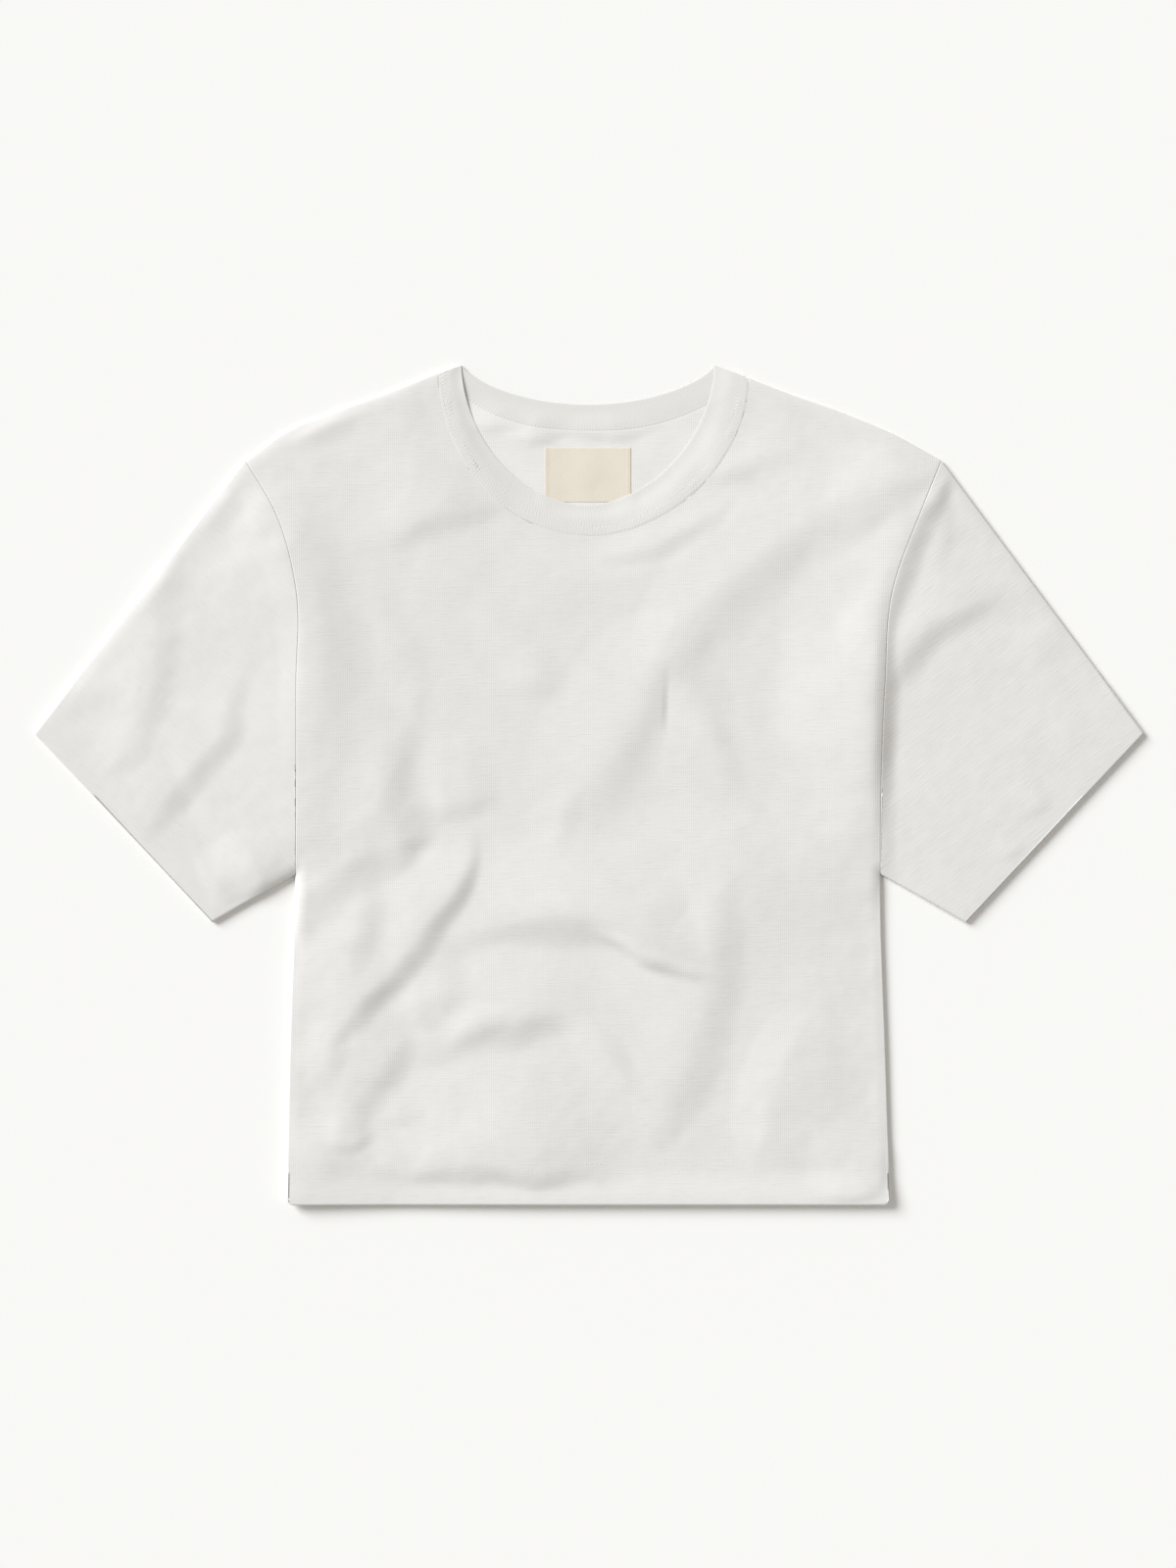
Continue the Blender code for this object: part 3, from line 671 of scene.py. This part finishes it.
# Each crest runs from its lower end up or from the right across, so that its left flank is the
# broad one that catches the light and its right one drops away from it.
FRONT_FOLDS = (
    # the right armhole and chest
    Fold("right_armhole_ridge",
         ((-203, 10), (-198, 40), (-193, 76), (-194, 112), (-202, 146), (-214, 178), (-231, 204)),
         1.2, 20, 40, 0.4, 0.12),
    Fold("right_armhole_slope",
         ((-208, -64), (-199, -20), (-190, 30), (-185, 80), (-189, 126), (-203, 166), (-220, 200)),
         2.9, 80, (50, 34), 0.35, 0.2),
    Fold("right_armhole_fold", ((-112, 66), (-130, 92), (-150, 124), (-176, 164)),
         1.0, 30, 24, 0.4, 0.4),
    Fold("right_chest", ((-160, -60), (-148, -22), (-135, 14), (-124, 48), (-108, 92)),
         1.0, 50, 21, 0.35, 0.4),
    Fold("under_chest", ((-120, -15), (-90, -10), (-58, -8)), 1.5, 50, 18, 0.4, 0.4),
    Fold("collar_fold", ((-156, 160), (-130, 174), (-106, 185), (-80, 191), (-40, 196)),
         2.3, 56, 21, 0.45, 0.4),
    Fold("collar_dip", ((-122, 128), (-95, 140), (-62, 158)), 0.6, 40, 22, 0.5, 0.5),
    Fold("right_shoulder_streak", ((-208, 230), (-180, 242), (-148, 256)), 1.3, 9, 14, 0.4, 0.4),
    Fold("chest_mark", ((-66, 66), (-38, 71), (-12, 64)), 0.9, 30, 16, 0.5, 0.5),
    Fold("chest_column", ((-30, -54), (-20, -26), (-12, 4)), 0.8, 26, 18, 0.5, 0.5),
    Fold("chest_fan", ((-58, 104), (-26, 128), (16, 140)), 0.6, 40, 30, 0.5, 0.5),
    Fold("chest_slant", ((-98, 154), (-66, 118), (-36, 78), (-12, 50)), 0.7, 20, 26, 0.4, 0.6),
    # the right flank
    Fold("right_flank", ((-232, -96), (-196, -72), (-164, -50), (-134, -38), (-100, -30)),
         3.9, 150, (40, 22), 0.16, 0.25),
    Fold("right_flank_drop", ((-166, -134), (-160, -98), (-153, -58)), 2.4, 80, 24, 0.5, 0.35),
    Fold("lower_right_ridge",
         ((-188, -184), (-158, -149), (-135, -125), (-113, -98), (-98, -77), (-85, -56), (-80, -24)),
         3.7, (76, 40), (20, 14), 0.22, 0.3),
    Fold("hem_streak", ((-196, -246), (-166, -222), (-150, -200), (-134, -180), (-116, -164)),
         2.2, 60, 24, 0.4, 0.35),
    Fold("hem_streak_beside", ((-180, -208), (-177, -184), (-167, -160)), 1.3, 26, 16, 0.5, 0.5),
    Fold("low_hem_streak", ((-186, -242), (-164, -240), (-144, -240)), 1.5, 20, 11, 0.4, 0.4),
    Fold("hem_patch", ((-148, -229), (-130, -226), (-112, -228)), 0.9, 22, 10, 0.5, 0.5),
    Fold("right_corner_fall", ((-214, -262), (-180, -250), (-146, -246)), 1.4, 30, 34, 0.5, 0.5),
    # the waist
    Fold("waist_fold",
         ((-112, -106), (-74, -96), (-36, -89), (0, -88), (28, -97), (48, -112), (68, -124),
          (92, -129)),
         5.2, (90, 26), (30, 18), 0.42, 0.5),
    Fold("waist_crease", ((0, -97), (22, -106), (42, -118), (62, -127), (88, -129)),
         2.6, 9, 10, 0.4, 0.5),
    Fold("lower_waist_fold",
         ((-150, -194), (-112, -179), (-82, -168), (-56, -159), (-30, -153), (-4, -158), (18, -182),
          (38, -216)),
         3.5, (80, 30), (30, 16), 0.5, 0.55),
    Fold("lower_waist_patch", ((-136, -152), (-108, -144), (-78, -140)), 1.9, 60, 26, 0.4, 0.4),
    Fold("lower_waist_arc", ((-102, -176), (-78, -163), (-50, -156)), 1.3, 16, 18, 0.4, 0.5),
    Fold("lower_waist_crease", ((-24, -160), (-4, -169), (16, -188), (34, -212)),
         1.7, 15, 17, 0.4, 0.5),
    Fold("hem_dip", ((-190, -264), (-134, -261), (-84, -258), (-38, -260), (0, -263), (34, -266)),
         5.4, (80, 110), 20, 0.5, 0.45),
    # the left flank and hem
    Fold("left_flank", ((30, -262), (50, -218), (66, -182), (77, -142), (82, -104), (88, -50)),
         2.7, 76, 31, 0.3, 0.25),
    Fold("left_hem_rise", ((112, -272), (122, -236), (129, -205), (138, -180), (160, -146)),
         2.0, 30, 60, 0.25, 0.3),
    Fold("left_corner_rise", ((140, -292), (186, -274), (216, -232)), 2.2, 60, 20, 0.4, 0.4),
    Fold("left_waist_slope", ((74, -140), (94, -60), (110, 4)), 2.5, 80, 100, 0.5, 0.5),
    # the left chest and armhole
    Fold("neck_left", ((66, 206), (97, 217), (134, 228)), 1.7, 24, 16, 0.5, 0.5),
    Fold("collar_left", ((-4, 152), (34, 162), (66, 174), (104, 200)), 1.6, 36, 15, 0.45, 0.35),
    Fold("shoulder_drag",
         ((28, 62), (46, 88), (72, 116), (104, 146), (144, 174), (186, 197), (244, 226)),
         2.5, 42, (46, 24), 0.45, 0.12),
    Fold("chest_drag",
         ((-20, -40), (0, -4), (18, 28), (33, 56), (48, 80), (60, 74), (74, 52), (90, 27), (104, 4)),
         2.4, (66, 26), (38, 22), 0.22, 0.5),
    Fold("chest_hollow", ((108, -18), (90, 10), (80, 34), (78, 70)), 1.2, 44, 20, 0.4, 0.4),
    Fold("armhole_roll", ((192, -104), (190, -20), (188, 50), (192, 112), (206, 156), (232, 204)),
         2.3, 70, 21, 0.15, 0.5),
    Fold("armhole_roll_low", ((190, -44), (192, 10), (192, 58), (194, 100), (202, 142)),
         4.6, (50, 96), 21, 0.4, 0.55),
    Fold("armhole_roll_high", ((198, 90), (208, 140), (222, 178), (246, 220)),
         3.2, 70, 16, 0.4, 0.2),
    # the left sleeve
    Fold("left_sleeve_fold", ((196, 58), (214, 92), (236, 114), (264, 126), (316, 140)),
         3.2, 56, 21, 0.25, 0.5),
    Fold("left_sleeve_head", ((234, 142), (238, 176), (239, 210)), 0.7, 18, 13, 0.4, 0.3),
    Fold("left_sleeve_dent", ((296, 72), (306, 94), (318, 116)), 0.7, 28, 18, 0.5, 0.5),
    Fold("left_cuff_pucker", ((286, -24), (302, -16), (318, -14)), 1.0, 24, 10, 0.5, 0.4),
    Fold("left_cuff_pucker_low", ((272, -52), (286, -46), (300, -42)), 0.8, 20, 9, 0.5, 0.4),
    # the right sleeve
    Fold("right_sleeve_fold",
         ((-314, -48), (-290, -10), (-269, 18), (-252, 40), (-245, 64), (-226, 100)),
         2.6, 80, 22, 0.25, 0.45),
    Fold("right_sleeve_ridge", ((-312, 16), (-301, 70), (-297, 118), (-286, 168)),
         1.9, 50, 25, 0.3, 0.2),
    Fold("right_sleeve_head", ((-242, 162), (-225, 178), (-204, 182)), 1.2, 26, 16, 0.5, 0.5),
    Fold("right_sleeve_high", ((-268, 160), (-253, 188), (-240, 210)), 0.9, 20, 18, 0.5, 0.4),
    Fold("right_cuff_fold", ((-368, 42), (-342, 61), (-312, 68)), 0.9, 22, 18, 0.5, 0.5),
    Fold("right_cuff_pucker", ((-336, 0), (-314, 22), (-292, 36)), 0.9, 28, 17, 0.5, 0.5),
    Fold("right_underarm_roll", ((-264, -76), (-232, -57), (-196, -42)), 1.6, 30, 24, 0.2, 0.5),
)


def top(x, y, to_hem, hem):
    """Height of the outside of the top layer, of the body and of the sleeves.

    It lies on the back along its edges, on doubled cloth at the hem and the side seams, and
    elsewhere on air, in folds.
    """
    across, up = wandering(x, y, 5)
    to_edge = distance_to(OUTLINE, x, y)
    air = mix(NECK_AIR, mix(EDGE_AIR, AIR, soft(to_edge / EDGE_EASE)),
              soft(distance_to([NECK], x, y) / NECK_EASE))
    lift = air + sum(raised(fold, across, up) for fold in FRONT_FOLDS)
    crumple = sum(height * uneven(x, y, wave, seed) for height, wave, seed in CRUMPLES)
    lift += crumple * mix(1.0, CALM, soft(to_edge / CALM_FROM))
    lift = inside_share(x, y) * np.maximum(lift, 0.0)
    double = 2.0 * JERSEY * np.maximum(double_share(to_hem, hem), seam_share(x, y))
    higher = 0.5 * (lift + double + np.hypot(lift - double, BLEND) - BLEND)
    free = mix(HEM_FLAT, 1.0, soft((x - HEM_FLAT_TO) / HEM_FLAT_EASE))
    stands = hem.air * (1.0 - soft(to_hem / hem.depth)) * free
    return 2.0 * JERSEY + GAP + higher + stands + curl(x, y)


front_x, front_y, front_wall = panel_plan(FRONT_SEAM, FINE)
front_z = top(front_x, front_y, front_y - SIDES[0].height, BODY_HEM) - front_wall / 2.0
front = cloth_wall("front", np.stack([front_x, front_y, front_z], axis=-1), front_wall,
                   np.stack([front_x, front_y], axis=-1))
front_hem = stitched("front_hem_stitches", hem_rows(
    lambda x, y: top(x, y, y - SIDES[0].height, BODY_HEM) - THREAD_SUNK), 22)
declare(front, "front_panel", jersey, [front_hem])

# ---------------------------------------------------------------- sleeves
# Each sleeve is one piece of the same jersey, sewn up along the underarm into a tube, set on
# the dropped armhole and laid flat, folded along the overarm. Its cuff is turned up once.

SLEEVE_HEM = Hem(27.0, 0.0, 0.8)
SEAM_DIP, DIP_SHARPNESS = 0.45, 8  # how far the underarm seam draws in the fold, and how narrowly
TURN_STEPS = 7  # points of the grid round a fold of the cloth, between its flat parts


def sleeve(hand, sign):
    """One sleeve: a tube about a ring that runs from the underarm under and over the arm.

    It is worked out on the left, and sign turns it over to its own side.
    """
    high, low = SIDES[-1].height, SIDES[2].height
    share = tightened(int((high - low) / FINE))
    heights = mix(high, low, share)
    seam = np.stack([side(hand, heights), heights], axis=1)
    tip, corner = np.array(CUFF_TIP), np.array(CUFF_CORNER)
    cuff = mix(tip, corner, share[:, None])
    arm = tightened(int(np.linalg.norm(tip - seam[0]) / FINE))[:, None, None]
    chord = mix(seam[0], seam[-1], share[:, None])
    plan = mix(chord, cuff, arm) + (seam - chord) * (1.0 - arm) ** 2
    hem_line = [np.array([tip, corner])]

    ends = plan[:, [0, -1]]
    length = np.linalg.norm(ends[:, 1] - ends[:, 0], axis=1)[:, None]
    along = (ends[:, 1] - ends[:, 0]) / length
    to_hem = distance_to(hem_line, *np.moveaxis(ends, -1, 0))
    turned_up = 1.0 - soft((to_hem[:, :1] - SLEEVE_HEM.depth) / HEM_STEP)
    wall = JERSEY * (1.0 + SLEEVE_HEM.turned * turned_up)
    radii = JERSEY + GAP / 2.0 + JERSEY * double_share(to_hem, SLEEVE_HEM)
    kept = mix(radii[:, :1] / length, 1.0 - radii[:, 1:] / length, share)
    x, y = (np.array([np.interp(k, share, row) for k, row in zip(kept, plan[..., axis])])
            for axis in (0, 1))
    upper = top(sign * x, y, distance_to(hem_line, x, y), SLEEVE_HEM) - wall / 2.0
    under = back_height(sign * x, y, inside_share(sign * x, y)) + wall / 2.0
    turn = np.linspace(-0.5 * np.pi, 0.5 * np.pi, TURN_STEPS + 2)[1:-1]
    turned = []
    for end, way, dip in ((0, 1.0, 0.0), (1, -1.0, SEAM_DIP)):
        radius, over, below = radii[:, end, None], upper[:, -end, None], under[:, -end, None]
        dipped = dip * np.cos(turn) ** DIP_SHARPNESS
        out = radius - (radius - wall / 2.0 - dipped) * np.cos(turn)
        flat = ends[:, end, None] + way * along[:, None] * out[..., None]
        level = 0.5 * (over + below) + 0.5 * (over - below) * np.sin(turn)
        turned.append(np.dstack([flat, level]))
    ring = np.concatenate([np.dstack([x, y, under])[:, ::-1], turned[0],
                           np.dstack([x, y, upper]), turned[1][:, ::-1]], axis=1)
    overarm = unit(tip - seam[0])
    beside = np.array([overarm[1], -overarm[0]])
    cut = (ring[..., :2] - seam[0]) @ np.stack([beside, overarm], axis=1)
    cut[:, :len(share) + TURN_STEPS // 2, 0] *= -1.0
    cut = np.concatenate([cut, 2.0 * cut[:, -1:] - cut[:, -2:-1]], axis=1)
    piece = cloth_wall(f"{hand}_arm", ring * (sign, 1.0, 1.0), wall, cut, ring=True)

    inward = unit(np.array([corner[1] - tip[1], tip[0] - corner[0]]))
    rows = []
    for inside in HEM_ROWS:
        first = tip + (seam[0] - tip) * inside / ((seam[0] - tip) @ inward)
        last = corner + (seam[-1] - corner) * inside / ((seam[-1] - corner) @ inward)
        row = mix(first, last, np.linspace(*CUFF_ROW_ENDS, CUFF_ROW_POINTS)[:, None])
        x, y = sign * row[:, 0], row[:, 1]
        over = top(x, y, np.full(x.shape, inside), SLEEVE_HEM) - THREAD_SUNK
        under = back_height(x, y, inside_share(x, y)) + THREAD_SUNK
        rows += [np.stack([x, y, over], axis=1), np.stack([x, y, under], axis=1)]
    cuff_stitches = stitched(f"{hand}_cuff_stitches", rows, 31)
    declare(piece, f"{hand}_sleeve", jersey,
            [cuff_stitches])


sleeve("right", -1.0)
sleeve("left", 1.0)

# ---------------------------------------------------------------- neck label
# A blank label of cream woven tape, its two ends folded under, sewn inside the back below the
# neck seam.

LABEL_CENTRE_X = -0.7
LABEL_TOP_Y = 229.0
LABEL_WIDTH = 58.2
LABEL_HEIGHT = 37.0
LABEL = 0.18  # thickness of the tape
LABEL_LAID = 0.06  # air under it
LABEL_TURNED = 2.4  # width of its folded ends, where the tape lies double
LABEL_STEP, LABEL_EASE = 0.08, 0.5  # how much higher the folded ends stand, and how soon
LABEL_UNEVEN, LABEL_WAVE = 0.03, 30.0  # how unevenly it lies, and over what
LABEL_ROWS, LABEL_COLUMNS = 31, 97
TAPE, TAPE_DOUBLE = "#EBE3D4", "#E8DDCC"
TAPE_THREAD = 0.7  # spacing of its threads, wider than real ones so that they show
TAPE_DEPTH = 0.08  # depth of its weave
TAPE_FADE = 0.4  # over which its colour deepens at a folded end, to either side


def woven_tape():
    """Cream cotton tape in a close plain weave: smooth and matt, warmer than the jersey.

    Its folded ends, where it lies double, are a shade deeper.
    """
    material, tree, shader = fabric("cream_woven_tape", TAPE, 0.06)
    place = add(tree, "ShaderNodeUVMap", uv_map="cut")
    split = add(tree, "ShaderNodeSeparateXYZ", {0: place})
    off = add(tree, "ShaderNodeMath", {0: split, 1: LABEL_CENTRE_X * METRES}, operation="SUBTRACT")
    off = add(tree, "ShaderNodeMath", {0: off}, operation="ABSOLUTE")
    end = LABEL_WIDTH / 2.0 - LABEL_TURNED
    folded = add(tree, "ShaderNodeMapRange", {"Value": off, "From Min": (end - TAPE_FADE) * METRES,
                                              "From Max": (end + TAPE_FADE) * METRES})
    shade = add(tree, "ShaderNodeMix", {0: folded, "A": linear(TAPE), "B": linear(TAPE_DOUBLE)},
                data_type="RGBA")
    tree.links.new(shade.outputs["Result"], shader.inputs["Base Color"])
    warp, weft = (ripples(tree, split.outputs[axis], TAPE_THREAD) for axis in (0, 1))
    weave = add(tree, "ShaderNodeMath", {0: warp, 1: weft}, operation="MULTIPLY")
    relief(tree, shader, weave, TAPE_DEPTH, 0.6)
    return material


def label():
    """The label, lying on the inside of the back."""
    across = np.linspace(-0.5, 0.5, LABEL_COLUMNS)
    x = LABEL_CENTRE_X + LABEL_WIDTH * across
    y = LABEL_TOP_Y - LABEL_HEIGHT * np.linspace(1.0, 0.0, LABEL_ROWS)
    x, y = np.meshgrid(x, y)
    z = JERSEY + LABEL_LAID + LABEL / 2.0 + back_height(x, y, inside_share(x, y))
    to_end = LABEL_WIDTH * (0.5 - np.abs(across))
    z += LABEL_STEP * soft(LABEL_TURNED + LABEL_EASE - to_end)
    z += LABEL_UNEVEN * uneven(x, y, LABEL_WAVE, 71)
    piece = cloth_wall("label", np.stack([x, y, z], axis=-1), LABEL, np.stack([x, y], axis=-1))
    declare(piece, "neck_label", woven_tape())


label()

# ---------------------------------------------------------------- neckband
# The neckband is a ring of rib knit folded in two along its finished edge, its raw edges sewn
# into the neck. Laid flat, its front lies over its back, folded at the two neck points.

FRONT_FINISH = Neckline((-86.7, 285.7), (85.3, 285.7), 95.7, 1.95, 1.8, 0.54)
BACK_FINISH = Neckline((-86.7, 285.7), (85.3, 285.7), 27.3, 2.0, 2.0, 0.7)
BAND_DEPTH = 20.0
RIB = 1.15  # two layers of rib knit, folded at the finished edge
LAID = 0.08  # air under it
RIB_COTTON = "#E3E1DD"
BAND_ROWS, BAND_COLUMNS = 15, 240
BAND_LINE_POINTS, LYING_POINTS = 501, 200  # worked out along the band's lines and under it
BAND_PUFF = 0.15  # how far the band bows up between its seam and its finished edge
PRESSED = 0.25  # how thick it is along its two edges, which are pressed flat
# Shares of its depth: what goes under at its seam, over what it thickens from its seam and from
# its finished edge, and over what its front comes down from the seam to lie on the back.
TUCKED, SEAM_FILLS, FINISH_FILLS, COMES_DOWN = 0.03, 0.3, 0.6, 0.8
PROUD = 0.03  # how far the seam of its front stands over the front panel
GAPE = 1.2  # how far its front stands up beside the right neck point
GAPE_PEAK, GAPE_END = 0.06, 0.15  # shares of its length from that point
BACK_INSET = 1.5  # how much further its back stops from the neck points than its front does
BAND_EASE = 8.0  # over which its front climbs on to the label and on to its own back
BAND_CUT = 16.0  # depth that its pattern of ribs is laid out on
COVER_ROWS = (1.2, 6.8)  # the two rows of the coverstitch, inside the seam
BACK_ROW = 0.3  # the row along the back seam
RIBS = 1.8  # pitch of the ribs
RIB_MOTTLES, RIB_FUZZES = 90.0, 1200.0  # mottles and tufts of fuzz, to the metre


def rib_knit():
    """Cotton rib of the same yarn: matt, with soft ribs that run across the band."""
    material, tree, shader = fabric("cotton_rib_knit", RIB_COTTON, 0.06)
    place = add(tree, "ShaderNodeUVMap", uv_map="cut")
    split = add(tree, "ShaderNodeSeparateXYZ", {0: place})
    wash = add(tree, "ShaderNodeTexNoise", {"Vector": place, "Scale": RIB_MOTTLES, "Detail": 3.0})
    sway = add(tree, "ShaderNodeMath", {0: wash, 1: 0.5}, operation="MULTIPLY")
    ribs = ripples(tree, split, RIBS, sway)
    fuzz = add(tree, "ShaderNodeTexNoise", {"Vector": place, "Scale": RIB_FUZZES, "Detail": 2.0})
    lift = add(tree, "ShaderNodeMath", {0: ribs, 1: 0.12, 2: fuzz}, operation="MULTIPLY_ADD")
    lift = add(tree, "ShaderNodeMath", {0: wash, 1: 0.8, 2: lift}, operation="MULTIPLY_ADD")
    relief(tree, shader, lift, KNIT_DEPTH, 0.7)
    return material


def lying(x, y):
    """Height of what is under the band's front: the back, the label or its own back."""
    beyond = np.hypot(np.maximum(np.abs(x - LABEL_CENTRE_X) - LABEL_WIDTH / 2.0, 0.0),
                      np.maximum(LABEL_TOP_Y - LABEL_HEIGHT - y, 0.0))
    on_label = (LABEL_LAID + LABEL) * soft(1.0 - beyond / BAND_EASE)
    seam = neckline(BACK_SEAM, np.linspace(0.0, 1.0, LYING_POINTS))
    over_seam = y - np.interp(x, seam[:, 0], seam[:, 1])
    on_band = (RIB + BAND_PUFF - JERSEY) * soft(1.0 + over_seam / BAND_EASE)
    return JERSEY + back_height(x, y, 1.0) + on_label + on_band


def band_row(face, inside):
    """A line on the upper face of a stretch of the band, this far inside its seam."""
    width = np.linalg.norm(face[-1, :, :2] - face[0, :, :2], axis=1)
    at = (BAND_ROWS - 1) * (TUCKED + inside / width)
    rows = np.arange(BAND_ROWS)
    line = [[np.interp(a, rows, column[:, k]) for k in range(3)]
            for a, column in zip(at, np.swapaxes(face, 0, 1))]
    return np.array(line) - (0.0, 0.0, THREAD_SUNK)


def neckband():
    """The band: its front from right to left, a fold, its back, and the other fold."""
    across = np.linspace(-TUCKED, 1.0, BAND_ROWS)[:, None]
    from_finish = soft((1.0 - across) / FINISH_FILLS)
    wall = mix(PRESSED, RIB, soft(across / SEAM_FILLS) * from_finish)
    down = soft(across / COMES_DOWN)
    share = np.linspace(0.0, 1.0, BAND_COLUMNS)
    even = np.linspace(0.0, 1.0, BAND_LINE_POINTS)
    bend = (RIB + LAID) / 2.0
    radius = bend + RIB / 2.0
    ends, parts = [], []
    for seam, finish, start in ((FRONT_SEAM, FRONT_FINISH, radius),
                                (BACK_SEAM, BACK_FINISH, radius + BACK_INSET)):
        grid = mix(neckline(seam, even)[None], neckline(finish, even)[None], across[..., None])
        length = np.linalg.norm(np.diff(grid, axis=1), axis=2).sum(axis=1).mean()
        kept = mix(start / length, 1.0 - start / length, share)
        parts.append(np.array([np.stack([np.interp(kept, even, column) for column in line.T], axis=1)
                               for line in grid]))
        ends.append(grid[:, [0, -1]])

    puff = BAND_PUFF * np.sin(np.pi * across)
    x, y = np.moveaxis(parts[0], -1, 0)
    rest = lying(x, y) + LAID + mix(PRESSED, RIB, from_finish)
    sewn = top(x[0], y[0], y[0] - SIDES[0].height, BODY_HEM) + PROUD
    open_share = soft(share / GAPE_PEAK) * soft((GAPE_END - share) / (GAPE_END - GAPE_PEAK))
    gape = GAPE * across ** 2 * open_share
    front_face = np.dstack([parts[0], np.maximum(mix(sewn, rest, down), rest) + puff + gape])
    x, y = np.moveaxis(parts[1], -1, 0)
    sewn = JERSEY + back_height(x[0], y[0], 1.0)
    back_face = np.dstack([parts[1], np.maximum(mix(sewn, RIB, down), wall) + puff])
    front, back = front_face.copy(), back_face.copy()
    for half in (front, back):
        half[..., 2] -= wall / 2.0

    turn = np.linspace(0.5 * np.pi, -0.5 * np.pi, TURN_STEPS + 2)[1:-1]
    out = (radius - bend * np.cos(turn))[:, None]
    turned = []
    for end, way in ((0, 1.0), (-1, -1.0)):
        fold = ends[0][:, end]
        inward = way * unit(np.array([fold[-1, 1] - fold[0, 1], fold[0, 0] - fold[-1, 0]]))
        flat = fold[:, None] + out[None] * inward
        over, below = front[:, end, 2:], back[:, end, 2:]
        level = 0.5 * (over + below) + 0.5 * (over - below) * np.sin(turn)
        turned.append(np.dstack([flat, level]))

    middle = np.concatenate([front, turned[1], back[:, ::-1], turned[0][:, ::-1]], axis=1)
    closed = np.concatenate([middle, middle[:, :1]], axis=1)
    steps = np.linalg.norm(np.diff(closed[BAND_ROWS // 2], axis=0), axis=1)
    round_about = np.concatenate([[0.0], np.cumsum(steps)])
    cut = np.stack(np.broadcast_arrays(round_about[None], BAND_CUT * across), axis=-1)
    piece = cloth_wall("band", middle, wall, cut, ring=True)
    rows = [band_row(front_face, inside) for inside in COVER_ROWS]
    needles = stitched("band_needle_stitches", rows,
                       41, pitch=2.6, length=2.1, thickness=0.55, sink=0.16)
    looper = stitched("band_looper_stitches", [band_row(front_face, sum(COVER_ROWS) / 2.0)],
                      42, pitch=1.2, length=6.0, thickness=0.5, slant=1.1, sink=0.24)
    behind = stitched("back_neck_stitches", [band_row(back_face, BACK_ROW)],
                      43, pitch=2.4, length=1.7, thickness=0.6, sink=0.1)
    flat = (round_about[-1] * METRES, BAND_DEPTH * METRES)
    declare(piece, "neckband", rib_knit(),
            [needles, looper, behind])


neckband()

# ---------------------------------------------------------------- floor, light and camera
# A pale seamless sweep, one broad soft light from the upper left with white walls all round,
# and a camera straight above.

FLOOR = "#F9F8F6"
FLOOR_REACH = 6.0  # metres from the middle to each edge of it
FLOOR_DOWN = 0.3  # how far it lies under the cloth, just clear of the stitches beneath


def floor():
    """The sweep of white paper: quite matt, with no gloss."""
    corners = [(FLOOR_REACH * across, FLOOR_REACH * up, -FLOOR_DOWN * METRES)
               for across, up in ((-1, -1), (1, -1), (1, 1), (-1, 1))]
    mesh = bpy.data.meshes.new("floor")
    mesh.from_pydata(corners, [], [(0, 1, 2, 3)])
    material = bpy.data.materials.new("matt_white_paper")
    material.use_nodes = True
    shader = material.node_tree.nodes["Principled BSDF"]
    shader.inputs["Base Color"].default_value = linear(FLOOR)
    shader.inputs["Roughness"].default_value = 1.0
    shader.inputs["Specular IOR Level"].default_value = 0.0
    mesh.materials.append(material)
    ground = bpy.data.objects.new("floor", mesh)
    bpy.context.scene.collection.objects.link(ground)


floor()

LIGHT_FROM = np.array([-0.688, 0.478, 0.545])  # towards the light
LIGHT, LIGHT_SPREAD, LIGHT_COLOUR = 3.446, 34.0, "#F8FCFF"
lamp = bpy.data.lights.new("softbox", "SUN")
lamp.energy = LIGHT
lamp.angle = np.radians(LIGHT_SPREAD)
lamp.color = linear(LIGHT_COLOUR)[:3]
softbox = bpy.data.objects.new("softbox", lamp)
bpy.context.scene.collection.objects.link(softbox)
flat_way = np.hypot(*LIGHT_FROM[:2])
softbox.rotation_euler = (np.arctan2(flat_way, LIGHT_FROM[2]), 0.0,
                          np.arctan2(LIGHT_FROM[1], LIGHT_FROM[0]) + 0.5 * np.pi)

WALLS, WALLS_COLOUR = 0.437, "#FFFBF6"
world = bpy.data.worlds.new("white_walls")
world.use_nodes = True
walls = world.node_tree.nodes["Background"]
walls.inputs["Color"].default_value = linear(WALLS_COLOUR)
walls.inputs["Strength"].default_value = WALLS
bpy.context.scene.world = world
bpy.context.scene.view_settings.view_transform = "Standard"

VIEW_HEIGHT = 1.0667  # metres of floor that the frame takes in, from its foot to its head
DISTANCE = 3.0
AIM = (-0.00067, 0.00033)  # the place on the floor under the camera
eye = bpy.data.cameras.new("camera")
eye.sensor_fit = "VERTICAL"
eye.sensor_height = 24.0
eye.lens = eye.sensor_height * DISTANCE / VIEW_HEIGHT
camera = bpy.data.objects.new("camera", eye)
bpy.context.scene.collection.objects.link(camera)
camera.location = (*AIM, DISTANCE)
bpy.context.scene.camera = camera
